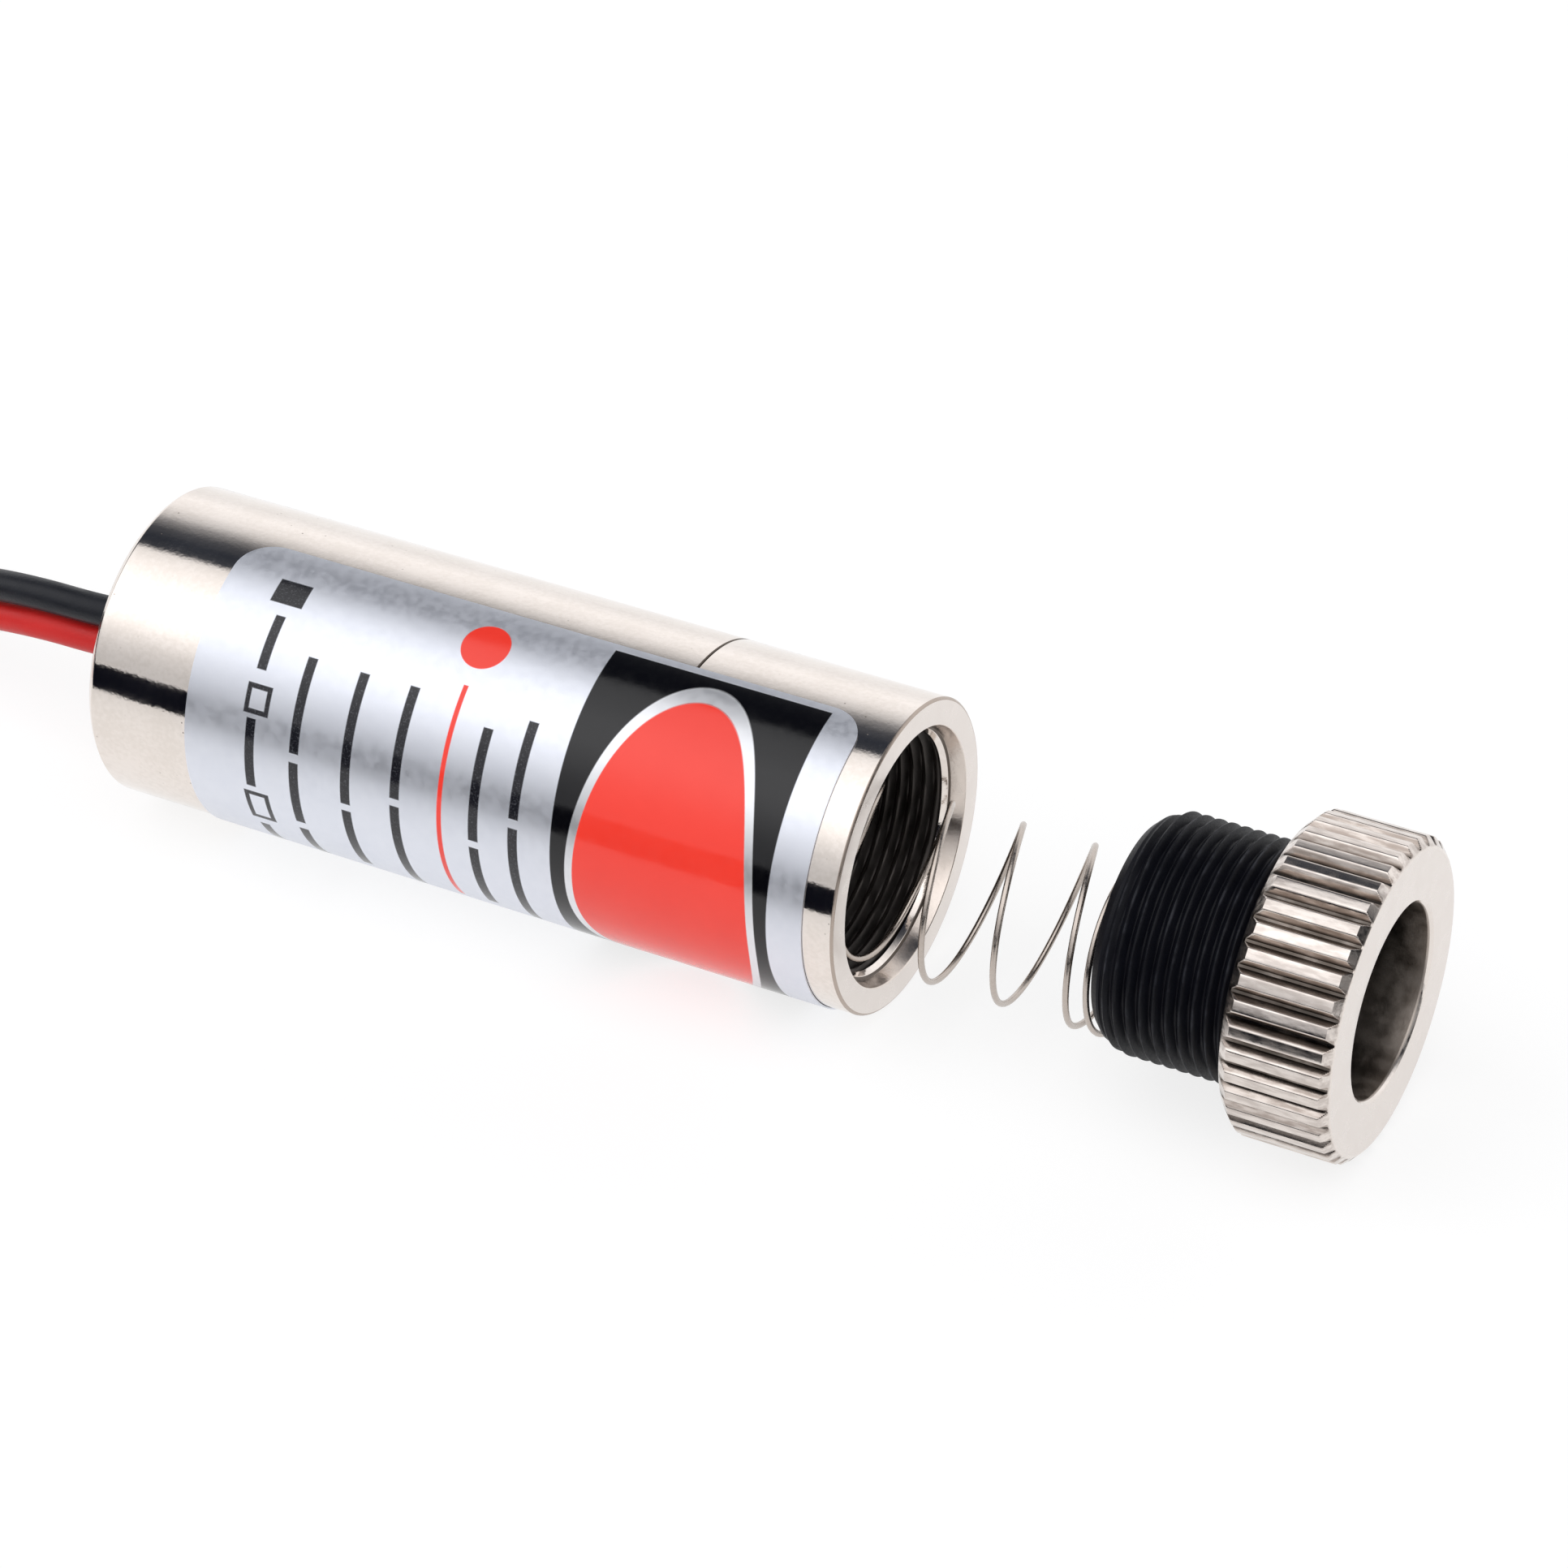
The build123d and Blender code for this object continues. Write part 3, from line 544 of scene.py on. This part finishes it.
def front_barrel():
    coats = [NICKEL, BORE_SHADE, MOUTH, CHAMFER_REFLECTION, SEAM_DARK_AND_SHADE, FACE]
    thread, wall, chamfer_reflection, dark_line_and_shade, faced = range(1, len(coats))
    outer = plain([
        (SPIGOT_REAR, DIODE_POCKET), (SPIGOT_REAR, SPIGOT_RADIUS),
        (-FRONT_LENGTH, SPIGOT_RADIUS), (-FRONT_LENGTH, SEAM_RADIUS), (-8.2, BARREL_RADIUS),
        (-0.08, BARREL_RADIUS), (0.0, 5.92), (0.0, 4.98), (-0.03, 4.94),
        (-0.55, 4.78), (-0.59, 4.74), (-0.61, 4.68), (THREAD_FRONT, BORE_RADIUS),
    ], 0.03)
    outer = marked(outer, -0.001, 0.001, 4.9, 5.91, faced)
    # Painted dark reflection on the front chamfer.
    outer = marked(outer, -0.1, -0.002, 5.9, 5.999, chamfer_reflection)
    outer = marked(outer, -8.26, -8.19, 5.3, 5.999, dark_line_and_shade)
    outer = marked(outer, -0.535, -0.001, 4.75, 4.97, wall)
    # Painted shade: the corner of the mouth's step darkened with the seam's colour.
    outer = marked(outer, -0.605, -0.535, 4.6, 4.8, dark_line_and_shade)
    bore = threaded(THREAD_FRONT, THREAD_REAR, BORE_RADIUS, 0.3, thread)
    back = plain([
        (THREAD_REAR, BORE_RADIUS), (SPRING_SEAT, BORE_RADIUS), (SPRING_SEAT, DIODE_HOLE),
        (DIODE_SEAT, DIODE_HOLE), (DIODE_SEAT, DIODE_POCKET), (SPIGOT_REAR, DIODE_POCKET),
    ], 0.04, thread)
    turned("barrel_front", outer + bore[1:] + back[1:-1], 192, coats, "housing",
           ["front_barrel"], inside=True)


def rear_sleeve():
    coats = [NICKEL, CHAMFER_REFLECTION, SEAM_DARK_AND_SHADE]
    chamfer_reflection, dark_line_and_shade = range(1, len(coats))
    outline = plain([
        (REAR_WALL, SLEEVE_BORE), (-FRONT_LENGTH, SLEEVE_BORE), (-FRONT_LENGTH, SEAM_RADIUS),
        (-8.3, BARREL_RADIUS), (-31.05, BARREL_RADIUS), (SLEEVE_REAR, 5.75),
        (SLEEVE_REAR, BUSH_RADIUS), (REAR_WALL, BUSH_RADIUS), (REAR_WALL, SLEEVE_BORE),
    ], 0.06)
    outline = marked(outline, -8.31, -8.24, 5.3, 5.999, dark_line_and_shade)
    # Painted dark reflection on the rear chamfer.
    outline = marked(outline, -31.28, -31.2, 5.7, 5.999, chamfer_reflection)
    turned("barrel_sleeve", outline[:-1], 192, coats, "housing", ["rear_sleeve"])


def lens_holder():
    lead_in, thread_end = 9.55, RING_REAR - 0.03
    rear = plain([
        (LENS_REAR, LENS_POCKET), (LENS_REAR, HOLDER_BORE), (HOLDER_REAR, HOLDER_BORE),
        (HOLDER_REAR, 3.85), (9.45, HOLDER_TIP), (lead_in, HOLDER_TIP),
    ], 0.05)
    run = [(x, min(r, HOLDER_TIP + (x - lead_in) * 0.75), cut, material)
           for x, r, cut, material in threaded(lead_in, thread_end, HOLDER_RADIUS, 0.12, 0)]
    nose = plain([
        (thread_end, HOLDER_RADIUS), (thread_end, NOSE_RADIUS), (NOSE_FRONT, NOSE_RADIUS),
        (NOSE_FRONT, LENS_POCKET), (LENS_REAR, LENS_POCKET),
    ], 0.05)
    turned("cap_holder", rear + run[1:] + nose[1:-1], 160, [holder_black()], "lens_cap",
           ["lens_holder"])


def lens():
    def drop(r):
        return LENS_SPHERE - math.sqrt(LENS_SPHERE**2 - r**2)

    top = LENS_REAR + LENS_EDGE + drop(LENS_RADIUS)
    steps, bevel = 24, 0.06
    radii = [LENS_RADIUS * i / steps for i in range(steps + 1)]
    outline = [(top - drop(r), r) for r in radii]
    outline += [(LENS_REAR + bevel, LENS_RADIUS), (LENS_REAR, LENS_RADIUS - bevel), (LENS_REAR, 0.0)]
    clear = glass("lens_glass", (0.90, 0.93, 0.95))
    turned("cap_lens", [(x, r, 0.0, 0) for x, r in outline], 96, [clear], "lens_cap",
           ["lens"])


def knurl():
    """Angle in degrees and radius of each point round the knurled ring."""
    half_mouth = math.degrees(math.asin(GROOVE_HALF_MOUTH / RIDGE_RADIUS))
    half_floor = math.degrees(math.asin(GROOVE_HALF_FLOOR / GROOVE_FLOOR))
    steps = 6
    half = [(0.0, GROOVE_FLOOR), (half_floor * 0.6, GROOVE_FLOOR)]
    half += [(half_floor + (half_mouth - half_floor) * k / steps, GROOVE_FLOOR + GROOVE_DEPTH * k / steps)
             for k in range(steps)]
    half += [(half_mouth - 0.12, 5.977), (half_mouth + 0.06, 5.991), (half_mouth + 0.3, 5.998),
             (3.2, RIDGE_RADIUS), (3.9, RIDGE_RADIUS)]
    around = []
    for groove in range(GROOVES):
        middle = 360.0 / GROOVES * groove
        around += [(middle - a, r) for a, r in reversed(half[1:])]
        around += [(middle + a, r) for a, r in half]
    return around


def focus_ring():
    coats = [knurl_nickel(), ring_bore_shade(), FACE]
    knurled, bored, faced = range(len(coats))
    split, over_ridge, face_from = 4.6, 6.04, RING_FRONT - 0.001
    around = knurl()
    ends = softened([
        (RING_REAR, split), (RING_REAR, 5.5), (15.2, over_ridge), (18.6, over_ridge),
        (RING_FRONT, 5.65), (RING_FRONT, split),
    ], 0.06, 2)
    stations = []
    for (x0, r0), (x1, r1) in zip(ends, ends[1:]):
        count = 1 if r0 == r1 or x0 == x1 else max(1, round(abs(r1 - r0) / 0.05))
        stations += [(x0 + (x1 - x0) * k / count, r0 + (r1 - r0) * k / count) for k in range(count)]
    stations.append(ends[-1])
    inner = softened([
        (RING_FRONT, split), (RING_FRONT, 3.75), (18.8, RING_BORE), (NOSE_FRONT, RING_BORE),
        (NOSE_FRONT, 4.01), (RING_REAR, 4.01), (RING_REAR, split),
    ], 0.05, 2)
    points, groove, rim, rows = [], [], [], []
    for x, radius in stations:
        rows.append(faced if x > face_from else knurled)
        for angle, crest in around:
            r = min(radius, crest)
            a = math.radians(angle)
            points.append((x, r * math.cos(a), r * math.sin(a)))
            cut = min(1.0, (RIDGE_RADIUS - crest) / GROOVE_DEPTH)
            groove.append(cut if RING_REAR + 0.05 < x < RING_FRONT - 0.05 else 0.0)
            rim.append(1.0 if RING_REAR + 0.02 < x < RING_FRONT - 0.02 else 0.0)
    for x, r in inner[1:-1]:
        rows.append(bored if r < 3.7 else faced if x > face_from else knurled)
        for angle, _ in around:
            a = math.radians(angle)
            points.append((x, r * math.cos(a), r * math.sin(a)))
            groove.append(0.0)
            rim.append(0.0)
    faces = grid_faces(len(rows), len(around), True, True)
    face_materials = [row for row in rows for _ in around]
    build("cap_ring", points, faces, coats, "lens_cap", ["focus_ring"], face_materials,
          sharp=30.0, values={"groove": groove, "rim": rim})


def spring_line():
    """The spring's wire: closed end turns, easing into open ones that lean as in the photo."""
    turns, closed, ease, tight = 8.5, 1.0, 0.5, 0.30
    lean_near, lean_up = 0.143, 0.172
    first, last, start, per_turn = -8.86, 8.96, 312.0, 64
    middle = turns - 2 * closed - 2 * ease
    open_pitch = (last - first - tight * (2 * closed + ease)) / (middle + ease)

    def opened(t):
        return clamped((min(t, turns - t) - closed) / ease)

    x, line = first, []
    for i in range(round(turns * per_turn) + 1):
        a = math.radians(start + 360.0 * i / per_turn)
        side, rise = SPRING_RADIUS * math.sin(a), -SPRING_RADIUS * math.cos(a)
        # Inside the barrel only the far side leans.
        far = clamped(0.5 + 0.75 * math.sin(a))
        outside = clamped((x + 1.0) / 2.0)
        near = lean_near * (outside + (1.0 - outside) * far)
        forward = opened(i / per_turn) * (lean_up * rise - near * side)
        line.append(Vector((x + forward, side + SPRING_SIDE, rise + SPRING_RISE)))
        x += (tight + (open_pitch - tight) * opened((i + 0.5) / per_turn)) / per_turn
    return line


def spring():
    line, sides = spring_line(), 14
    points = []
    for i, here in enumerate(line):
        heading = (line[min(i + 1, len(line) - 1)] - line[max(i - 1, 0)]).normalized()
        outward = Vector((0.0, here.y - SPRING_SIDE, here.z - SPRING_RISE))
        first = (outward - heading * outward.dot(heading)).normalized()
        second = heading.cross(first)
        for j in range(sides):
            a = 2 * math.pi * j / sides
            points.append(here + (first * math.cos(a) + second * math.sin(a)) * SPRING_WIRE)
    faces = grid_faces(len(line), sides, False, True)
    faces.append(tuple(range(sides)))
    faces.append(tuple((len(line) - 1) * sides + j for j in range(sides)))
    piece = build("focus_spring", points, faces, [STEEL], "spring", ["spring"],
                  sharp=50.0)
    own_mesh(piece)


def label():
    """A thin curved sheet with rounded corners, laid round the barrel."""
    columns, rows = 72, 132
    half_x, half_s = (LABEL_FRONT - LABEL_REAR) / 2, (LABEL_TOP - LABEL_FOOT) / 2 * LABEL_ARC
    mid_x, mid_t = (LABEL_FRONT + LABEL_REAR) / 2, (LABEL_TOP + LABEL_FOOT) / 2
    points = []
    for radius in (LABEL_OUTER, LABEL_INNER):
        for i in range(rows):
            s = half_s * math.sin(math.pi / 2 * (2 * i / (rows - 1) - 1))
            into_corner = max(0.0, abs(s) - (half_s - LABEL_CORNER))
            reach = half_x - LABEL_CORNER + math.sqrt(max(0.0, LABEL_CORNER**2 - into_corner**2))
            angle = math.radians(mid_t + s / LABEL_ARC)
            for j in range(columns):
                x = mid_x + reach * (2 * j / (columns - 1) - 1)
                points.append((x, -radius * math.cos(angle), radius * math.sin(angle)))
    top = grid_faces(rows, columns, False, False)
    size = rows * columns
    faces = top + [tuple(v + size for v in reversed(face)) for face in top]
    edge = list(range(columns)) + [i * columns + columns - 1 for i in range(1, rows)]
    edge += [(rows - 1) * columns + j for j in range(columns - 2, -1, -1)]
    edge += [i * columns for i in range(rows - 2, 0, -1)]
    faces += [(a, b, b + size, a + size) for a, b in zip(edge, edge[1:] + edge[:1])]
    build("wrap_label", points, faces, [foil_print()], "housing", ["label"])


def block(centre, low, high, half_x, half_y, corner, edge):
    """A block with rounded corners and edges, as points and faces."""
    steps = 4
    rings = []
    for k in range(steps + 1):
        a = math.pi / 2 * k / steps
        rings.append((low + edge * (1 - math.cos(a)), edge * (1 - math.sin(a))))
    rings += [(low + high - z, inset) for z, inset in reversed(rings)]
    points = []
    for z, inset in rings:
        for side_x, side_y, start in ((1, 1, 0), (-1, 1, 90), (-1, -1, 180), (1, -1, 270)):
            for k in range(steps + 1):
                a = math.radians(start + 90 * k / steps)
                x = side_x * (half_x - corner) + (corner - inset) * math.cos(a)
                y = side_y * (half_y - corner) + (corner - inset) * math.sin(a)
                points.append((centre[0] + x, centre[1] + y, z))
    around = 4 * (steps + 1)
    faces = grid_faces(len(rings), around, False, True)
    faces += [tuple(range(around)), tuple((len(rings) - 1) * around + k for k in range(around))]
    return points, faces


def tie():
    """The strap round the coil's far side, hugging the turns, with its ratchet head and trimmed end."""
    x_low, x_high, z_low, z_high, corner = -64.53, -59.715, -5.65, -2.89, 0.7
    thick, half_wide, soft, steps = 0.35, 0.9, 0.09, 8
    section = [(0.0, half_wide - soft), (soft, half_wide), (thick - soft, half_wide),
               (thick, half_wide - soft)]
    section += [(out, -across) for out, across in reversed(section)]
    points = []
    for x, z, inward_x, inward_z, start in ((x_high, z_high, -1, -1, 0), (x_low, z_high, 1, -1, 90),
                                            (x_low, z_low, 1, 1, 180), (x_high, z_low, -1, 1, 270)):
        for k in range(steps + 1):
            a = math.radians(start + 90 * k / steps)
            for out, across in section:
                reach = corner + out
                points.append((x + inward_x * corner + reach * math.cos(a), COIL_Y + across,
                               z + inward_z * corner + reach * math.sin(a)))
    faces = grid_faces(len(points) // len(section), len(section), True, True)
    middle = (x_low + x_high) / 2
    head = block((middle, COIL_Y), z_high + 0.2, -1.24, 1.2, 1.2, 0.35, 0.2)
    trimmed_end = block((middle - 1.05, COIL_Y), -2.25, -1.95, 0.6, 0.85, 0.12, 0.08)
    for more_points, more_faces in (head, trimmed_end):
        faces += [tuple(v + len(points) for v in face) for face in more_faces]
        points += more_points
    nylon = moulded("tie_nylon", (0.035, 0.035, 0.038), (0.018, 0.018, 0.020), 0.30, 0.46)
    build("coil_tie", points, faces, [nylon], "housing", ["lead_tie"], sharp=40.0)


front_barrel()
rear_sleeve()
focus_ring()
lens_holder()
lens()
spring()
label()
tie()


# Leads


def coil_points(level):
    """The turns of the put-away length, from the outside inwards, ending at the stripped tip."""
    per_turn, last_part = 16, 0.25
    wound_last = COIL_FIRST_RADIUS - COIL_TURN_PITCH * COIL_TURNS
    out = []
    for i in range(1, round(COIL_TURNS * per_turn) + 1):
        turn = i / per_turn
        late = max(0.0, (turn - COIL_TURNS + last_part) / last_part)
        wound = COIL_FIRST_RADIUS - COIL_TURN_PITCH * turn
        radius = wound + (COIL_LAST_RADIUS - wound_last) * late**2
        angle = math.radians(90.0 + 360.0 * turn)
        out.append((COIL_X + radius * math.cos(angle), COIL_Y + radius * math.sin(angle), level))
    return out


def lead(name, route, level, material, stands_for):
    curve = bpy.data.curves.new(name, "CURVE")
    curve.dimensions = "3D"
    curve.bevel_depth = LEAD_RADIUS * MM
    curve.bevel_resolution = 8
    curve.resolution_u = 8
    curve.use_fill_caps = True
    spline = curve.splines.new("NURBS")
    points = route + coil_points(level)
    spline.points.add(len(points) - 1)
    for point, place in zip(spline.points, points):
        point.co = (*[c * MM for c in place], 1.0)
    spline.order_u = 3
    spline.use_endpoint_u = True
    curve.materials.append(material)
    piece = bpy.data.objects.new(name, curve)
    bpy.context.scene.collection.objects.link(piece)
    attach(piece, "housing")
    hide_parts(*stands_for)


lead("supply_lead_red",
     [(SLEEVE_REAR, 0.0, -0.68), (-33.4, 0.0, -1.12), (-38.2, 0.0, -1.15), (-44.6, 1.7, -3.4),
      (-50.8, 4.6, RED_LEVEL), (COIL_X, 4.6, RED_LEVEL)],
     RED_LEVEL, RED_PLASTIC, ["lead_red", "lead_coil"])
lead("supply_lead_black",
     [(SLEEVE_REAR, 0.0, 0.68), (-33.4, 0.0, 0.24), (-38.5, 0.0, 0.21), (-44.9, 1.7, -2.08),
      (-51.1, 4.6, BLACK_LEVEL), (COIL_X, 4.6, BLACK_LEVEL)],
     BLACK_LEVEL, BLACK_PLASTIC, ["lead_black"])


# Materials of the nodes that stay as they are

SOLDER = wire_steel("tin_solder", (0.66, 0.66, 0.67), (0.46, 0.46, 0.47), 0.20, 0.38)
GOLD = wire_steel("gold_flash", (0.86, 0.62, 0.26), (0.74, 0.50, 0.19), 0.16, 0.30)
FINISHES = {
    "diode_stem": GOLD, "diode_post": GOLD, "diode_pins": GOLD,
    "diode_can": wire_steel("can_steel", (0.70, 0.69, 0.66), (0.55, 0.54, 0.51), 0.20, 0.34),
    "diode_window": glass("window_glass", (0.88, 0.92, 0.94)),
    "laser_chip": moulded("laser_crystal", (0.13, 0.13, 0.15), (0.07, 0.07, 0.085), 0.12, 0.25,
                          20.0, 0.001),
    "driver_board": board(),
    "trim_pot": moulded("trimmer_body", (0.78, 0.78, 0.72), (0.66, 0.66, 0.60), 0.40, 0.55),
    "drive_transistor": moulded("black_epoxy", (0.035, 0.035, 0.04), (0.02, 0.02, 0.024), 0.45, 0.62),
    "chip_capacitor": moulded("capacitor_tan", (0.50, 0.38, 0.25), (0.40, 0.29, 0.18), 0.40, 0.55),
    "chip_resistors": moulded("resistor_black", (0.05, 0.05, 0.06), (0.025, 0.025, 0.03), 0.25, 0.40),
    "solder_joints": SOLDER, "conductor_ends": SOLDER, "tinned_tips": SOLDER,
    "inner_lead_red": RED_PLASTIC, "inner_lead_black": BLACK_PLASTIC,
    "cable_bush": moulded("bush_rubber", (0.030, 0.030, 0.032), (0.018, 0.018, 0.020), 0.50, 0.68),
}
for node_name, finish in FINISHES.items():
    node = NODES[node_name]
    node.data.materials.clear()
    node.data.materials.append(finish)


# Camera, floor and light


def camera():
    azimuth, elevation = math.radians(27.233), math.radians(35.213)
    distance, to_left, upwards = 209.51, 4.4403, 2.6449
    back = Vector((math.sin(azimuth) * math.cos(elevation), -math.cos(azimuth) * math.cos(elevation),
                   math.sin(elevation)))
    right = Vector((math.cos(azimuth), math.sin(azimuth), 0.0))
    up = back.cross(right)
    data = bpy.data.cameras.new("camera")
    data.lens = 132.95
    data.sensor_width = 36.0
    data.clip_start = 0.01
    data.clip_end = 20.0
    eye = bpy.data.objects.new("camera", data)
    bpy.context.scene.collection.objects.link(eye)
    place = (back * distance - right * to_left + up * upwards) * MM
    eye.matrix_world = Matrix.Translation(place) @ Matrix((right, up, back)).transposed().to_4x4()
    bpy.context.scene.camera = eye


def stage_plane(name, corners, material):
    mesh = bpy.data.meshes.new(name)
    mesh.from_pydata([tuple(c * MM for c in corner) for corner in corners], [], [(0, 1, 2, 3)])
    mesh.materials.append(material)
    piece = bpy.data.objects.new(name, mesh)
    bpy.context.scene.collection.objects.link(piece)
    return piece


def floor():
    """A white floor that keeps the shadow. Seen in metal, it darkens a little away from the object."""
    net = Net("floor_white")
    rays = net.node("ShaderNodeLightPath").outputs
    mirrored = net.math("MAXIMUM", rays["Is Glossy Ray"], rays["Is Transmission Ray"])
    seen = net.math("MAXIMUM", rays["Is Camera Ray"], mirrored)
    falling_off = net.math("MULTIPLY", net.span(net.axes()[1], -32.0, -8.0, 0.16, 0.0), mirrored)
    paper = net.mix(net.noise(0.05, 3.0), (0.90, 0.90, 0.90), (0.92, 0.92, 0.92))
    base = net.mix(net.math("MULTIPLY", seen, 0.7), paper, (0.0, 0.0, 0.0))
    glow = net.math("SUBTRACT", net.math("MULTIPLY", seen, 0.77), falling_off)
    net.set(Base_Color=base, Roughness=0.9, Specular_IOR_Level=0.0)
    net.set(Emission_Color=(1.0, 1.0, 1.0), Emission_Strength=glow)
    reach = 1500.0
    stage_plane("floor", [(-reach, -reach, FLOOR), (reach, -reach, FLOOR), (reach, reach, FLOOR),
                          (-reach, reach, FLOOR)], net.material)


def dark_card():
    """A black card standing in front, seen only in the metal, for the dark line along it."""
    net = Net("card_black")
    black = net.mix(net.noise(0.05, 2.0), (0.004, 0.005, 0.010), (0.008, 0.009, 0.016))
    net.set(Base_Color=black, Roughness=0.9, Specular_IOR_Level=0.0)
    x_low, x_high, y, z_low, z_high = -160.0, 120.0, -30.0, FLOOR + 0.1, 3.7
    corners = [(x_low, y, z_low), (x_high, y, z_low), (x_high, y, z_high), (x_low, y, z_high)]
    card = stage_plane("card", corners, net.material)
    card.visible_camera = False
    card.visible_diffuse = False
    card.visible_shadow = False


def sky():
    """A long soft box along the barrel from in front to overhead, a dark gap behind it, and a pale wall.

    Each level is given by the angle round the barrel, from in front over the top to the back. Past the
    box's end, on the lens side, it is darker.
    """
    world = bpy.data.worlds.new("studio")
    bpy.context.scene.world = world
    world.use_nodes = True
    net = Graph(world.node_tree)
    axes = net.split(net.node("ShaderNodeTexCoord").outputs["Generated"])
    angle = net.math("ARCTAN2", axes[2], net.math("MULTIPLY", axes[1], -1.0))
    ramp = net.node("ShaderNodeValToRGB")
    net.join(net.math("DIVIDE", angle, math.pi), ramp.inputs[0])
    levels = [(0, 1.0), (6, 0.64), (14, 0.68), (24, 0.84), (33, 1.10), (41, 1.36), (52, 1.6), (68, 1.6),
              (80, 1.38), (92, 1.2), (99, 1.0), (103, 0.05), (112, 0.03), (122, 0.08), (130, 0.28),
              (138, 0.72), (148, 1.05), (162, 1.2), (180, 1.0)]
    marks = ramp.color_ramp.elements
    while len(marks) < len(levels):
        marks.new(0.5)
    for mark, (degrees, level) in zip(marks, levels):
        mark.position = degrees / 180.0
        cool = 0.02 * max(0.0, 1.0 - level)
        mark.color = (level, level + 0.3 * cool, level * 1.01 + cool, 1.0)
    background = world.node_tree.nodes["Background"]
    net.join(ramp.outputs[0], background.inputs["Color"])
    net.join(net.span(axes[0], 0.74, 0.92, 1.0, 0.2), background.inputs["Strength"])


camera()
floor()
dark_card()
sky()
bpy.context.scene.view_settings.view_transform = "Standard"
